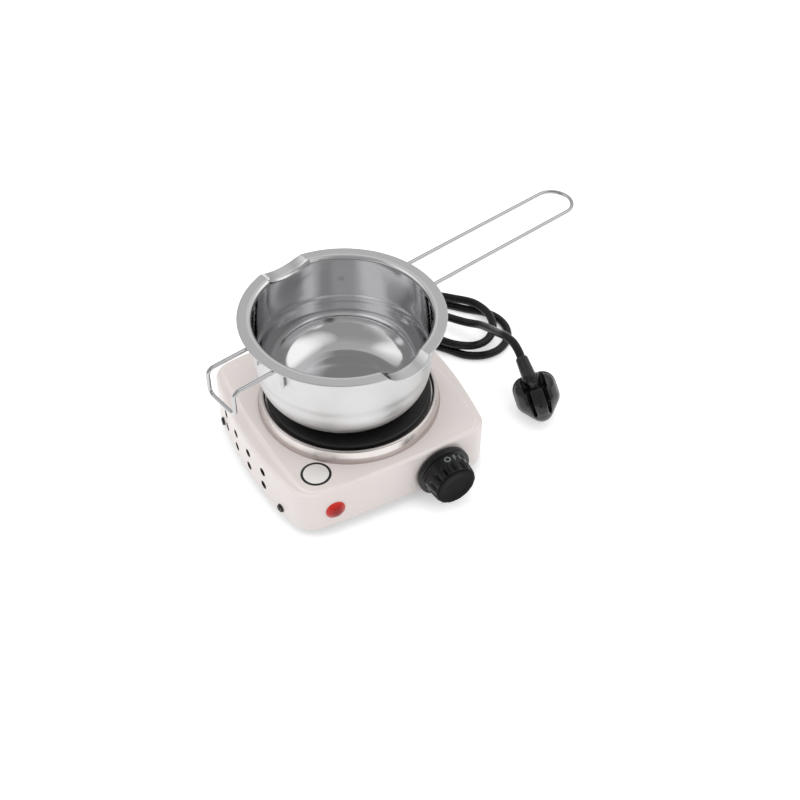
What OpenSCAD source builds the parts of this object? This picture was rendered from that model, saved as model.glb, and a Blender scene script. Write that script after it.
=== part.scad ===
// Candle wax melter: a small electric hotplate with a double-boiler melting pot standing on it.
// +X runs along the pot's handle side, -Y is the front with the knob, +Z is up.
// The origin is the middle of the object's footprint, on the surface that it stands on.

/* [Body] */
// Width of the housing at its widest, mm
body_w = 139; // [130:1:150]
// Distance from the plate's axis to the middle of the front, mm
body_front = 63; // [61:1:68]
// Distance from the plate's axis to the middle of the back, mm
body_back = 70; // [66:1:76]
// How far each side bows out, mm
side_bow = 9; // [5:0.5:11]
// How far the front bows out, mm
front_bow = 2.5; // [1.5:0.5:4]
// How far the back bows out, mm
back_bow = 5.5; // [2:0.5:8]
// Radius of the upright corners, mm
corner_r = 13; // [9:1:18]
// Height of the flat top above the table, mm
top_z = 38; // [36:0.5:42]
// Height of the housing's lower edge, mm
edge_z = 7; // [6:0.5:9]
// Thickness of the pressed steel, mm
sheet = 1; // [0.8:0.1:1.2]

/* [Vents] */
// Vents in a row on each side
vent_count = 4; // [3:1:5]
// Diameter of a vent, mm
vent_d = 5.5; // [4:0.5:6]
// Distance from vent to vent, mm
vent_step = 18.2; // [16:0.2:19]

/* [Hotplate] */
// Diameter of the cast-iron plate, mm
plate_d = 100; // [98:1:102]
// Height of the plate's top face, mm
plate_z = 47; // [46:0.5:50]
// Diameter of the trim ring at its foot, mm
ring_d = 111.5; // [110:0.5:114]

/* [Knob] */
// Diameter of the knob's skirt, mm
knob_d = 34.5; // [30:0.5:36]
// Depth of the knob from the skirt's back to its face, mm
knob_depth = 17; // [15:1:20]
// Grooves round the grip
knob_grooves = 14; // [10:1:18]
// Distance of the knob from the plate's axis, to the right, mm
knob_x = 28.5; // [26:0.5:32]
// Height of the knob's axis, mm
knob_z = 20; // [19:0.5:22]

/* [Pot] */
// Outer diameter of the pot's flange, mm
flange_d = 121; // [119:1:124]
// Height of the pot, mm
pot_h = 60; // [58:1:66]
// Thickness of the pot's wall, mm
pot_wall = 0.8; // [0.6:0.1:1]
// Chord of a pouring spout across the flange, mm
spout_w = 30; // [24:1:32]
// Depth of a pouring spout below the flange, mm
spout_depth = 5; // [4:0.5:6]
// Direction of the handle, turned from +X, degrees
pot_turn = 11; // [0:1:20]

/* [Wires] */
// Diameter of the handle's wire, mm
wire_d = 2.4; // [2:0.1:3]
// Distance between the handle's two wires, centre to centre, mm
wire_gap = 24.4; // [20:0.2:26]
// Reach of the handle's wire from the pot's axis, mm
handle_reach = 184; // [150:1:190]
// Reach of the rest's wire from the pot's axis, mm
rest_reach = 85; // [80:1:88]
// Drop of the rest below the handle's wires, mm
rest_drop = 17; // [14:1:20]

/* [Lead] */
// Diameter of the mains lead, mm
lead_d = 5.5; // [5:0.1:5.5]

/* [Hidden] */
$fn = 64;

// colours
cream = [0.93, 0.89, 0.87];
steel_bright = [0.83, 0.83, 0.84];
steel_dull = [0.62, 0.63, 0.64];
zinc = [0.72, 0.72, 0.7];
iron_black = [0.13, 0.13, 0.13];
plastic_black = [0.07, 0.07, 0.075];
rubber_black = [0.1, 0.1, 0.1];
ceramic = [0.9, 0.88, 0.82];
lamp_red = [0.8, 0.08, 0.06];
brass = [0.78, 0.62, 0.3];
wire_brown = [0.4, 0.25, 0.15];

// the plate's axis stands off the origin, so that the origin is the middle of the footprint
loop_centre = handle_reach - wire_gap / 2;
pot_x = -3;
reach_right = pot_x + loop_centre * cos(pot_turn) + (wire_gap + wire_d) / 2;
reach_left = rest_reach * cos(pot_turn) + wire_gap / 2 * sin(pot_turn) + wire_d / 2 - pot_x;
knob_gap = 1;
skirt_back = -body_front - knob_gap;
knob_face = skirt_back - knob_depth;
plate_x = (reach_left - reach_right) / 2;
plate_y = (-knob_face - body_back) / 2;

// housing outline: half width, front, back, the three bows and the corner radius
body_plan = [body_w / 2, body_front, body_back, side_bow, front_bow, back_bow, corner_r];
// the flat top is less bowed than the walls, which leaves a crescent shoulder down each side
top_plan = [body_w / 2 - 8, body_front - 2, body_back - 3, 3.5, 1.5, 2.5, corner_r - 1.5];
shoulder_z = top_z - 6;
side_mid = (body_back - body_front) / 2;
side_r = bow_radius((body_back + body_front) / 2, side_bow);
front_r = bow_radius(body_w / 2 - side_bow, front_bow);
back_r = bow_radius(body_w / 2 - side_bow, back_bow);

opening_r = 48.2;
lip_depth = 2.5;
vent_rows = [14.2, 25.4];
vent_first = 35;
lamp_x = -42;
lamp_z = 20;
gland_x = 38;
gland_z = 17;
shaft_r = 3;
base_z = edge_z + 1;
flange_h = 5;
foot_x = 46;
foot_front = -46;
foot_back = 53;
side_screw_y = [-38, 44];
side_screw_z = 10.6;

// radius of an arc that rises by bow over a half chord
function bow_radius(half, bow) = (half * half + bow * bow) / (2 * bow);

function arc_points(c, r, from, to, n) =
    [for (i = [0:n]) let (a = from + (to - from) * i / n) [c[0] + r * cos(a), c[1] + r * sin(a)]];

// meeting point of two circles, on the side asked for
function meet(c1, r1, c2, r2, side) =
    let (d = norm(c2 - c1), u = (c2 - c1) / d, a = (r1 * r1 - r2 * r2 + d * d) / (2 * d))
    c1 + a * u + side * sqrt(r1 * r1 - a * a) * [-u[1], u[0]];

function heading(v) = atan2(v[1], v[0]);

// right half of a bowed outline, from the middle of the front to the middle of the back
function half_plan(p, inset) =
    let (
        mid = (p[2] - p[1]) / 2,
        rs = bow_radius((p[1] + p[2]) / 2, p[3]),
        rf = bow_radius(p[0] - p[3], p[4]),
        rb = bow_radius(p[0] - p[3], p[5]),
        cs = [p[0] - rs, mid],
        cf = [0, -p[1] + rf],
        cb = [0, p[2] - rb],
        low = meet(cs, rs - p[6], cf, rf - p[6], -1),
        high = meet(cs, rs - p[6], cb, rb - p[6], 1)
    )
    concat(
        arc_points(cf, rf - inset, -90, heading(low - cf), 4),
        arc_points(low, p[6] - inset, heading(low - cf), heading(low - cs), 7),
        arc_points(cs, rs - inset, heading(low - cs), heading(high - cs), 12),
        arc_points(high, p[6] - inset, heading(high - cs), heading(high - cb), 7),
        arc_points(cb, rb - inset, heading(high - cb), 90, 4)
    );

// the whole outline, counterclockwise, with no doubled points
function plan(p, inset) =
    let (
        h = half_plan(p, inset),
        kept = [for (i = [0:len(h) - 1]) if (i == 0 || norm(h[i] - h[i - 1]) > 0.01) h[i]],
        last = len(kept) - 1
    )
    concat(kept, [for (i = [last - 1:-1:1]) [-kept[i][0], kept[i][1]]]);

// distance of the side wall from the middle at y, and its lean there
function side_x(y) = body_w / 2 - side_r + sqrt(side_r * side_r - pow(y - side_mid, 2));
function side_lean(y) = asin((y - side_mid) / side_r);
function front_y(x) = -body_front + front_r - sqrt(front_r * front_r - x * x);
function back_y(x) = body_back - back_r + sqrt(back_r * back_r - x * x);

module at_plate() {
    translate([plate_x, plate_y, 0]) children();
}

module at_pot() {
    at_plate() translate([pot_x, 0, plate_z + 0.05]) rotate([0, 0, pot_turn]) children();
}

// outlines of equal length, each at its height, skinned into one closed solid
module loft(rings, heights) {
    n = len(rings[0]);
    m = len(rings);
    pts = [for (k = [0:m - 1]) for (p = rings[k]) [p[0], p[1], heights[k]]];
    walls = [
        for (k = [0:m - 2]) for (i = [0:n - 1]) let (j = (i + 1) % n)
            [k * n + i, (k + 1) * n + i, (k + 1) * n + j, k * n + j]
    ];
    bottom = [for (i = [0:n - 1]) i];
    top = [for (i = [n - 1:-1:0]) (m - 1) * n + i];
    polyhedron(points = pts, faces = concat(walls, [bottom, top]), convexity = 6);
}

// a screw standing on z = 0 with its head below, shank up
module screw(head_r, head_h, shank_r, shank_l) {
    difference() {
        translate([0, 0, -head_h]) cylinder(r1 = head_r * 0.8, r2 = head_r, h = head_h);
        translate([-head_r, -0.35, -head_h - 0.1]) cube([2 * head_r, 0.7, head_h * 0.45]);
    }
    translate([0, 0, -0.05]) cylinder(r = shank_r, h = shank_l + 0.05);
}

// puts a piece on the front wall with local +Z looking out of it
module on_front(x, z) {
    translate([x, front_y(x), z]) rotate([0, 0, asin(x / front_r)]) rotate([90, 0, 0]) children();
}

// puts a piece on a side wall, right for s = 1 and left for s = -1, local +Z looking out
module on_side(s, y, z) {
    translate([s * side_x(y), y, z]) rotate([0, 0, s * side_lean(y)]) rotate([0, s * 90, 0]) children();
}

module on_back(x, z) {
    translate([x, back_y(x), z]) rotate([0, 0, -asin(x / back_r)]) rotate([-90, 0, 0]) children();
}

module housing_form(inset) {
    loft(
        [
            plan(body_plan, inset), plan(body_plan, inset), plan(body_plan, inset + 0.5),
            plan(body_plan, inset + 1.6), plan(top_plan, inset * 1.2), plan(top_plan, inset * 1.2 + 1.2)
        ],
        [
            edge_z - (inset > 0 ? 1 : 0), shoulder_z, shoulder_z + 2 - inset * 0.3,
            shoulder_z + 3.4 - inset * 0.5, top_z - 0.5 - inset * 0.9, top_z - inset
        ]
    );
}

module housing() {
    color(cream) at_plate() difference() {
        union() {
            difference() {
                housing_form(0);
                housing_form(sheet);
                translate([0, 0, top_z - 10]) cylinder(r = opening_r, h = 20);
            }
            // turned-down lip of the round opening
            translate([0, 0, top_z - lip_depth]) difference() {
                cylinder(r = opening_r + sheet, h = lip_depth - 0.2);
                translate([0, 0, -1]) cylinder(r = opening_r, h = lip_depth + 2);
            }
        }
        for (s = [-1, 1]) for (z = vent_rows) for (i = [0:vent_count - 1])
            on_side(s, vent_first - i * vent_step, z) translate([0, 0, -6]) cylinder(d = vent_d, h = 12);
        for (s = [-1, 1]) for (y = side_screw_y)
            on_side(s, y, side_screw_z) translate([0, 0, -6]) cylinder(r = 1.6, h = 12);
        on_front(lamp_x, lamp_z) translate([0, 0, -6]) cylinder(r = 4.5, h = 12);
        translate([knob_x, -body_front - 5, knob_z]) rotate([-90, 0, 0]) cylinder(r = 4.5, h = 15);
        for (s = [-1, 1]) translate([knob_x + s * 9, -body_front - 5, knob_z]) rotate([-90, 0, 0])
            cylinder(r = 1.6, h = 15);
        on_back(gland_x, gland_z) translate([0, 0, -6]) cylinder(r = 6, h = 12);
    }
}

module base_plate() {
    inset = sheet + 0.3;
    color(zinc) at_plate() difference() {
        translate([0, 0, base_z]) linear_extrude(flange_h) polygon(plan(body_plan, inset));
        translate([0, 0, base_z + sheet]) linear_extrude(flange_h) polygon(plan(body_plan, inset + sheet));
        // notch that leaves the gland its room
        translate([gland_x - 9, body_back - 12, base_z + sheet]) cube([18, 16, flange_h + 1]);
        // air slots under the plate
        for (a = [0:30:330]) rotate([0, 0, a]) translate([20, -2, base_z - 1]) cube([16, 4, 3]);
        for (s = [-1, 1]) for (y = side_screw_y)
            on_side(s, y, side_screw_z) translate([0, 0, -6]) cylinder(r = 1.5, h = 12);
        for (x = [-foot_x, foot_x]) for (y = [foot_front, foot_back])
            translate([x, y, base_z - 1]) cylinder(r = 1.7, h = 3);
        translate([45, 38, base_z - 1]) cylinder(r = 2, h = 3);
    }
}

module rubber_feet() {
    color(rubber_black) at_plate() for (x = [-foot_x, foot_x]) for (y = [foot_front, foot_back])
        translate([x, y, 0]) difference() {
            rotate_extrude() polygon([[0, 0], [6, 0], [7, 1], [8.5, base_z - 1], [8.5, base_z], [0, base_z]]);
            translate([0, 0, -1]) cylinder(r = 3.6, h = 4);
            translate([0, 0, -1]) cylinder(r = 1.6, h = 12);
        }
}

module foot_screws() {
    color(steel_dull) at_plate() for (x = [-foot_x, foot_x]) for (y = [foot_front, foot_back])
        translate([x, y, 3]) screw(3, 1.8, 1.55, base_z);
}

module side_screws() {
    color(steel_dull) at_plate() for (s = [-1, 1]) for (y = side_screw_y)
        on_side(s, y, side_screw_z) rotate([180, 0, 0]) screw(2.8, 1.4, 1.45, 6);
}

module trim_ring() {
    foot = ring_d / 2;
    bead = [52.6, plate_z - 2.2];
    ledge_z = plate_z - 4;
    color(steel_bright) at_plate() rotate_extrude($fn = 96) polygon(concat(
        [[foot - 0.8, top_z], [foot, top_z], [foot - 0.3, top_z + 0.8]],
        arc_points(bead, 1.3, 15, 170, 8),
        [[51.2, ledge_z], [48.4, ledge_z], [48.4, ledge_z - 0.8], [52.1, ledge_z - 0.8]],
        arc_points(bead, 0.5, 170, 15, 5)
    ));
}

module hotplate() {
    r = plate_d / 2;
    under = plate_z - 4;
    color(iron_black) at_plate() difference() {
        rotate_extrude($fn = 96) polygon(concat(
            [[0, plate_z - 13], [9, plate_z - 13], [9, plate_z - 11], [47.6, plate_z - 11], [47.6, under], [r, under]],
            arc_points([r - 1.5, plate_z - 1.5], 1.5, 0, 90, 5),
            [[16, plate_z], [15, plate_z - 0.5], [0, plate_z - 0.5]]
        ));
        // groove that holds the element
        translate([0, 0, plate_z - 12]) difference() {
            cylinder(r = 36, h = 7);
            translate([0, 0, -1]) cylinder(r = 28, h = 9);
        }
        translate([0, 0, plate_z - 14]) cylinder(r = shaft_r + 0.03, h = 8);
    }
}

module heating_element() {
    color(steel_dull) at_plate() {
        translate([0, 0, plate_z - 11]) difference() {
            cylinder(r = 35, h = 6);
            translate([0, 0, -1]) cylinder(r = 29, h = 8);
        }
        for (a = [35, 55]) rotate([0, 0, a]) translate([32, 0, 17]) cylinder(r = 1.6, h = plate_z - 27.9);
    }
}

// dished shield, clamped up against the underside of the housing's top
module heat_shield() {
    rim_z = top_z - sheet;
    floor_z = 22;
    color(zinc) at_plate() difference() {
        rotate_extrude() polygon([
            [0, floor_z - 0.8], [43.6, floor_z - 0.8], [50.6, rim_z - 0.8], [54, rim_z - 0.8], [54, rim_z],
            [50.2, rim_z], [43, floor_z], [0, floor_z]
        ]);
        translate([0, 0, 15]) cylinder(r = shaft_r + 0.3, h = 10);
        for (a = [35, 55]) rotate([0, 0, a]) translate([32, 0, 15]) cylinder(r = 3, h = 10);
    }
}

module centre_stud() {
    color(zinc) at_plate() translate([0, 0, 12.5]) cylinder(r = shaft_r, h = plate_z - 7 - 12.5);
}

module clamp_nut() {
    color(zinc) at_plate() difference() {
        union() {
            translate([0, 0, 20]) cylinder(r = 7, h = 1.2);
            translate([0, 0, 15]) cylinder(r = 5.77, h = 5.05, $fn = 6);
        }
        translate([0, 0, 14]) cylinder(r = shaft_r, h = 10);
    }
}

module thermal_cutout() {
    color(ceramic) at_plate() translate([-24, 10, 21.2]) {
        translate([0, 0, -4]) cylinder(r = 6, h = 4);
        translate([0, 0, -6]) cylinder(r = 3.5, h = 2.1);
        for (s = [-1, 1]) translate([s * 8 - 3, -2, -1]) cube([6, 4, 1]);
    }
}

// the thermostat bears on the inside of the front wall
thermostat_y = -body_front + 3.05;
module thermostat_body() {
    color(ceramic) at_plate() translate([knob_x, thermostat_y, knob_z]) difference() {
        union() {
            translate([-12, -0.8, -6.5]) cube([24, 1.2, 13]);
            translate([-10, 0.3, -6.5]) cube([20, 12, 13]);
            rotate([-90, 0, 0]) cylinder(r = 5, h = 13.5);
            for (s = [-1, 1]) translate([s * 6 - 2, 12, 2]) cube([4, 4, 0.8]);
        }
        rotate([-90, 0, 0]) translate([0, 0, -2]) cylinder(r = shaft_r + 0.05, h = 12);
        for (s = [-1, 1]) translate([s * 9, -2, 0]) rotate([-90, 0, 0]) cylinder(r = 1.4, h = 8);
    }
}

module thermostat_screws() {
    color(steel_dull) at_plate() for (s = [-1, 1])
        translate([knob_x + s * 9, front_y(knob_x + s * 9) - 0.15, knob_z]) rotate([-90, 0, 0])
            screw(2.2, 0.6, 1.4, 6);
}

module thermostat_shaft() {
    color(steel_dull) at_plate() translate([knob_x, knob_face + 4, knob_z]) rotate([-90, 0, 0]) difference() {
        cylinder(r = shaft_r, h = thermostat_y + 4 - knob_face);
        translate([-shaft_r * 1.6, -shaft_r, -1]) cube([shaft_r, 2 * shaft_r, 9]);
    }
}

module knob() {
    r = knob_d / 2;
    grip_back = 14.6;
    grip_front = 13.6;
    groove_from = 10;
    color(plastic_black) at_plate() translate([knob_x, skirt_back, knob_z]) rotate([90, 0, 0]) difference() {
        rotate_extrude($fn = 96) polygon(concat(
            [[0, 1], [4.6, 1], [4.6, 0], [r - 0.6, 0], [r, 0.6], [r, 3], [r - 1, 4], [grip_back, 4.4]],
            arc_points([grip_front - 2, knob_depth - 2], 2, 5, 90, 6),
            [[8, knob_depth], [6, knob_depth - 0.5], [0, knob_depth - 0.5]]
        ));
        // hollow behind the grip, round the hub
        translate([0, 0, -1]) difference() {
            cylinder(r = 12, h = knob_depth - 2);
            translate([0, 0, -1]) cylinder(r = 5, h = knob_depth + 2);
            for (a = [45, 135]) rotate([0, 0, a]) translate([-20, -0.6, 5]) cube([40, 1.2, knob_depth]);
        }
        for (i = [0:knob_grooves - 1]) rotate([0, 0, i * 360 / knob_grooves + 6])
            translate([12.9, -1.1, groove_from]) cube([4, 2.2, knob_depth]);
        // bore for the shaft, flatted at its end
        difference() {
            translate([0, 0, -1]) cylinder(r = shaft_r + 0.03, h = knob_depth - 3);
            translate([-shaft_r * 1.6 - 0.03, -shaft_r - 1, knob_depth - 12]) cube([shaft_r, 2 * shaft_r + 2, 9]);
        }
    }
}

module lamp_lens() {
    color(lamp_red) at_plate() on_front(lamp_x, lamp_z) {
        rotate_extrude() polygon(concat(
            [[0, -4], [4.3, -4], [4.3, 0], [6, 0], [6, 0.8], [5.2, 1.4]],
            arc_points([0, -3.2], 6.9, 42, 90, 6)
        ));
    }
}

module lamp_body() {
    color(plastic_black) at_plate() on_front(lamp_x, lamp_z) {
        translate([0, 0, -16]) cylinder(r = 4.1, h = 12);
        for (s = [-1, 1]) translate([s * 2 - 0.4, -1, -20]) cube([0.8, 2, 4.1]);
    }
}

module lamp_clip() {
    color(zinc) at_plate() on_front(lamp_x, lamp_z) translate([0, 0, -2.1]) difference() {
        cylinder(r = 6.5, h = 0.8);
        translate([0, 0, -1]) cylinder(r = 4.3, h = 3);
    }
}

block_at = [-8, 46];
module terminal_block() {
    color(ceramic) at_plate() translate([block_at[0] - 15, block_at[1], base_z + sheet]) difference() {
        cube([30, 14, 11]);
        for (i = [0:2]) translate([5 + 10 * i, 7, 3]) cylinder(r = 1.6, h = 9);
        for (i = [0:2]) translate([5 + 10 * i, -1, 4.5]) rotate([-90, 0, 0]) cylinder(r = 1.9, h = 16);
        for (i = [0:1]) translate([9.5 + 10 * i, -1, 8]) cube([1, 16, 4]);
    }
}

module terminal_screws() {
    color(brass) at_plate() for (i = [0:2])
        translate([block_at[0] - 10 + 10 * i, block_at[1] + 7, base_z + sheet + 3]) cylinder(r = 1.55, h = 6);
}

module earth_screw() {
    color(brass) at_plate() translate([45, 38, base_z + sheet]) {
        cylinder(r = 4, h = 0.8);
        translate([0, 0, 0.7]) cylinder(r = 3.4, h = 2.3);
        translate([0, 0, -3]) cylinder(r = 1.9, h = 3.8);
    }
}

gland_out = [gland_x, sqrt(back_r * back_r - gland_x * gland_x), 0] / back_r;
gland_seat = [gland_x, back_y(gland_x), gland_z];
gland_inner = gland_seat - gland_out * 9.6;
block_y = block_at[1];
block_back = block_y + 14;
wire_z = base_z + sheet + 4.5;
module wire(points) {
    tube(points, 0.9, 6);
}

module inner_wires() {
    color(wire_brown) at_plate() {
        // supply: gland to terminal block, and earth to its screw
        wire([gland_inner + [-1.6, 0, 0], [33, 57, 15], [20, 64, wire_z], [2, 64, wire_z], [2, block_back, wire_z]]);
        wire([gland_inner + [0, 0, 2], [34, 56, 18], [18, 60.5, 19], [-8, 63, 17], [-8, block_back, wire_z]]);
        wire([gland_inner + [1.6, 0, -1], [40, 52, 13], [43, 45, 11], [44, 42, 9.9]]);
        // block to thermostat, thermostat to element, block to lamp
        wire([[2, block_y, wire_z], [4, 36, 12], [14, -12, 12], [22, -40, 17], [22.5, thermostat_y + 15.8, 23]]);
        wire([[34.5, thermostat_y + 16, 23], [38, -34, 15], [40, 10, 13], [26.2, 18.4, 13], [26.2, 18.35, 17]]);
        wire([[-18, block_y, wire_z], [-22, 36, 12], [-40, 0, 12], [-41, -36, 14], [-41.2, -42, 19]]);
    }
}

// moulded strain relief that grips the lead where it leaves the back
module cable_gland() {
    color(rubber_black) at_plate() on_back(gland_x, gland_z) difference() {
        rotate_extrude() polygon([
            [0, -9], [5.2, -9], [7.2, -6], [7.2, -1.2], [5.9, -1.2], [5.9, 0.1], [8, 0.1], [8, 3], [5.6, 5],
            [4.9, 25], [0, 25]
        ]);
        for (i = [0:3]) translate([0, 0, 9 + i * 4]) for (a = [0, 180]) rotate([0, 0, a + (i % 2) * 90])
            translate([2.9, -8, 0]) cube([8, 16, 1.6]);
    }
}

// route of the lead, chosen by hand, measured from the plate's axis
gland_end = gland_seat + gland_out * 25;
plug_at = [116.8, -35.6, 14.45];
plug_turn = 59.8;
plug_tilt = 57;
plug_roll = 20;
relief_foot = [112, -32.5, 29.3];
relief_tip = [114.8, -18, 33.9];
relief_way = (relief_tip - relief_foot) / norm(relief_tip - relief_foot);
LEAD_ROUTE = [
    [42.7, 103.7, 16.4], [45.9, 113.3, 13.1], [52.6, 121.2, 8.1], [62, 125.4, 4.5], [72.2, 125.9, 3],
    [82.7, 122.2, 2.9], [93.2, 113.5, 2.9], [104.4, 99.9, 2.8], [116.7, 85.1, 2.8], [128.8, 71.2, 2.8],
    [140.2, 59.4, 2.8], [144.2, 47.9, 2.8], [142.5, 37.1, 2.8], [135.9, 28.2, 2.8], [126, 23.3, 2.8],
    [115, 23.6, 2.8], [104.4, 29.5, 2.8], [95.2, 42.3, 2.8], [83.5, 57.2, 3], [69.1, 69.1, 2.9],
    [61.7, 83.2, 2.8], [62.4, 96, 3.2], [68.6, 105.6, 4.4], [78.4, 110.9, 6.2], [90, 110.7, 8.2],
    [102.4, 103.5, 9.1], [111.7, 90.2, 9.2], [122.4, 78.8, 9.6], [133.6, 66.8, 9.2], [137.2, 55.2, 7.8],
    [135.4, 45.2, 6.3], [129.8, 37.5, 5.5], [121.5, 32.7, 5.4], [111.2, 31.9, 6.6], [99.7, 36.7, 8.9],
    [88.2, 50, 10.5], [78, 60.9, 9.9], [65.1, 69.9, 10.3], [56.9, 82.4, 12], [56.3, 95.5, 13.6],
    [61.8, 106, 14.6], [71.2, 112.3, 15.2], [82.2, 113.6, 15.5], [93.3, 109.4, 15.4], [101.8, 99.3, 14.6],
    [105.1, 86.4, 13], [104.3, 76.2, 11.3], [105.8, 66.3, 11], [110.6, 56.9, 11.8], [116.2, 48.2, 12.7],
    [119.9, 38.5, 16.6], [119.6, 27.4, 22.3], [118.1, 15.8, 28.4], [116.7, 3.7, 34.9], [116.6, -5.6, 36.5]
];
module mains_lead() {
    start = [gland_end, gland_end + gland_out * lead_d];
    end = [relief_tip + relief_way * lead_d, relief_tip];
    color(rubber_black) at_plate() tube(concat(start, LEAD_ROUTE, end), lead_d / 2, 8);
}

// way of the route at ring i: square to its end faces, halfway between its two runs elsewhere
function ring_way(p, i) =
    let (
        n = len(p) - 1,
        before = i > 0 ? (p[i] - p[i - 1]) / norm(p[i] - p[i - 1]) : [0, 0, 0],
        after = i < n ? (p[i + 1] - p[i]) / norm(p[i + 1] - p[i]) : [0, 0, 0],
        way = before + after
    )
    way / norm(way);

module tube(p, r, sides) {
    n = len(p) - 1;
    pts = [
        for (i = [0:n]) let (
            w = ring_way(p, i),
            side = cross([0, 0, 1], w) / norm(cross([0, 0, 1], w)),
            up = cross(w, side)
        )
        for (k = [0:sides - 1]) let (a = (k + 0.5) * 360 / sides) p[i] + r * cos(a) * side + r * sin(a) * up
    ];
    walls = [
        for (i = [0:n - 1]) for (k = [0:sides - 1]) let (
            j = (k + 1) % sides,
            a = i * sides + k,
            b = i * sides + j,
            c = (i + 1) * sides + j,
            d = (i + 1) * sides + k
        )
        each [[a, c, b], [a, d, c]]
    ];
    first = [for (k = [0:sides - 1]) k];
    last = [for (k = [sides - 1:-1:0]) n * sides + k];
    polyhedron(points = pts, faces = concat(walls, [first, last]), convexity = 10);
}

// the plug leans forward on the rim of its face and on its pins, with the lead leaving it upwards
module at_plug() {
    at_plate() translate(plug_at) rotate([0, -plug_tilt, plug_turn]) rotate([0, 0, plug_roll]) children();
}

// outline of the plug's face, an egg that is wider towards the lead
module plug_outline(z, h, inset) {
    translate([0, 0, z]) hull() {
        for (s = [-1, 1]) {
            translate([6.5, s * 5.6, 0]) cylinder(r = 8.5 - inset, h = h, $fn = 32);
            translate([-1, s * 5.2, 0]) cylinder(r = 9 - inset, h = h, $fn = 32);
        }
        translate([-9.3, 0, 0]) cylinder(r = 7.4 - inset, h = h, $fn = 32);
    }
}

module plug_body() {
    color(plastic_black) at_plug() difference() {
        union() {
            plug_outline(0, 5, 0);
            hull() {
                plug_outline(4.9, 3, 0.6);
                for (s = [-1, 1]) translate([4.5, s * 4, 14]) cylinder(r = 3.5, h = 2.4, $fn = 24);
                translate([-6.5, 0, 13]) cylinder(r = 3.5, h = 2.4, $fn = 24);
            }
            // neck that the strain relief comes out of
            translate([6, 0, 8]) rotate([0, 90, 0]) cylinder(r = 5.3, h = 10.5, $fn = 24);
        }
        // grooves either side of the raised middle, and gaps beside the neck
        for (s = [-1, 1]) translate([-14, s * 5 - 1.1, 8.6]) rotate([0, -6, s * 6]) cube([26, 2.2, 12]);
        for (s = [-1, 1]) translate([8.5, s * 6.2 - 0.9, 3]) cube([10, 1.8, 20]);
    }
}

module plug_relief() {
    way = relief_way;
    lean = acos(way[2]);
    color(rubber_black) at_plate() translate(relief_foot) rotate([0, lean, atan2(way[1], way[0])]) {
        l = norm(relief_tip - relief_foot);
        difference() {
            translate([0, 0, -3]) cylinder(r1 = 5.2, r2 = 4, h = l + 3);
            for (i = [0:2]) translate([0, 0, 3.2 + i * 3.6]) difference() {
                cylinder(r = 9, h = 1.3);
                translate([0, 0, -1]) cylinder(r = 3.3, h = 4);
            }
        }
    }
}

module plug_pins() {
    color(steel_bright) at_plug() for (s = [-1, 1]) translate([0, s * 9.5, -19]) {
        translate([0, 0, 1.2]) cylinder(r = 2.4, h = 17.8);
        cylinder(r1 = 1.4, r2 = 2.4, h = 1.25);
    }
}

// pot profile from the middle of its foot up the outside, over the flange and down the inside
pot_r = 52;
foot_r = 30;
bend_r = 22;
step_z = 30;
flange_t = 1;
spout_r = ((spout_w / 2) * (spout_w / 2) + spout_depth * spout_depth) / (2 * spout_depth);
module pot_section() {
    flange_r = flange_d / 2;
    polygon(concat(
        [[0, 0]],
        arc_points([foot_r, bend_r], bend_r, -90, 0, 12),
        [[pot_r, step_z - 1], [pot_r + 0.7, step_z + 1]],
        arc_points([pot_r + 2.5, pot_h - flange_t - 1.2], 1.2, 180, 90, 4),
        arc_points([flange_r - flange_t / 2, pot_h - flange_t / 2], flange_t / 2, -90, 90, 6),
        arc_points([pot_r + 2.5, pot_h - 2], 2, 90, 180, 6),
        [[pot_r + 0.7 - pot_wall, step_z + 1], [pot_r - pot_wall, step_z - 1]],
        arc_points([foot_r, bend_r], bend_r - pot_wall, 0, -90, 12),
        [[0, pot_wall]]
    ));
}

// trough of a spout, lying out along +X with its lowest line at the spout's depth
module trough(r) {
    translate([40, 0, pot_h - spout_depth + spout_r]) rotate([0, 90, 0]) cylinder(r = r, h = 40, $fn = 128);
}

module pot_bowl() {
    color(steel_bright) at_pot() {
        difference() {
            rotate_extrude($fn = 128) pot_section();
            for (a = [-90, 90]) rotate([0, 0, a]) trough(spout_r);
        }
        // pressed lips of the spouts
        for (a = [-90, 90]) rotate([0, 0, a]) difference() {
            intersection() {
                translate([0, 0, pot_h - spout_depth - 2]) difference() {
                    cylinder(r = flange_d / 2 + 1, h = spout_depth + 2, $fn = 128);
                    translate([0, 0, -1]) cylinder(r = pot_r + 0.2, h = spout_depth + 4, $fn = 128);
                }
                trough(spout_r + pot_wall);
            }
            trough(spout_r);
        }
    }
}

// wires: height of their centres under the flange, bend radius and how far the legs run down the wall
wire_r = wire_d / 2;
wire_h = pot_h - flange_t - wire_r - 0.05;
wire_bend = 4;
leg_l = 15;
// the legs are welded: they sink a little into the wall
weld_sink = 0.2;
wall_at_leg = pot_r + 1.2;
leg_x = sqrt(pow(wall_at_leg + wire_r - weld_sink, 2) - pow(wire_gap / 2, 2));

module bend(from, r = wire_bend) {
    rotate([0, 0, from]) rotate_extrude(angle = 90) translate([r, 0]) circle(r = wire_r);
}

// leg up the wall and round into a run that goes out along +X to x = to
module leg_and_run(to) {
    for (s = [-1, 1]) translate([0, s * wire_gap / 2, 0]) {
        translate([leg_x, 0, wire_h - leg_l]) cylinder(r = wire_r, h = leg_l - wire_bend);
        translate([leg_x + wire_bend, 0, wire_h - wire_bend]) rotate([90, 0, 0]) bend(90);
        translate([leg_x + wire_bend, 0, wire_h]) rotate([0, 90, 0])
            cylinder(r = wire_r, h = to - leg_x - wire_bend);
    }
}

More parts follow.
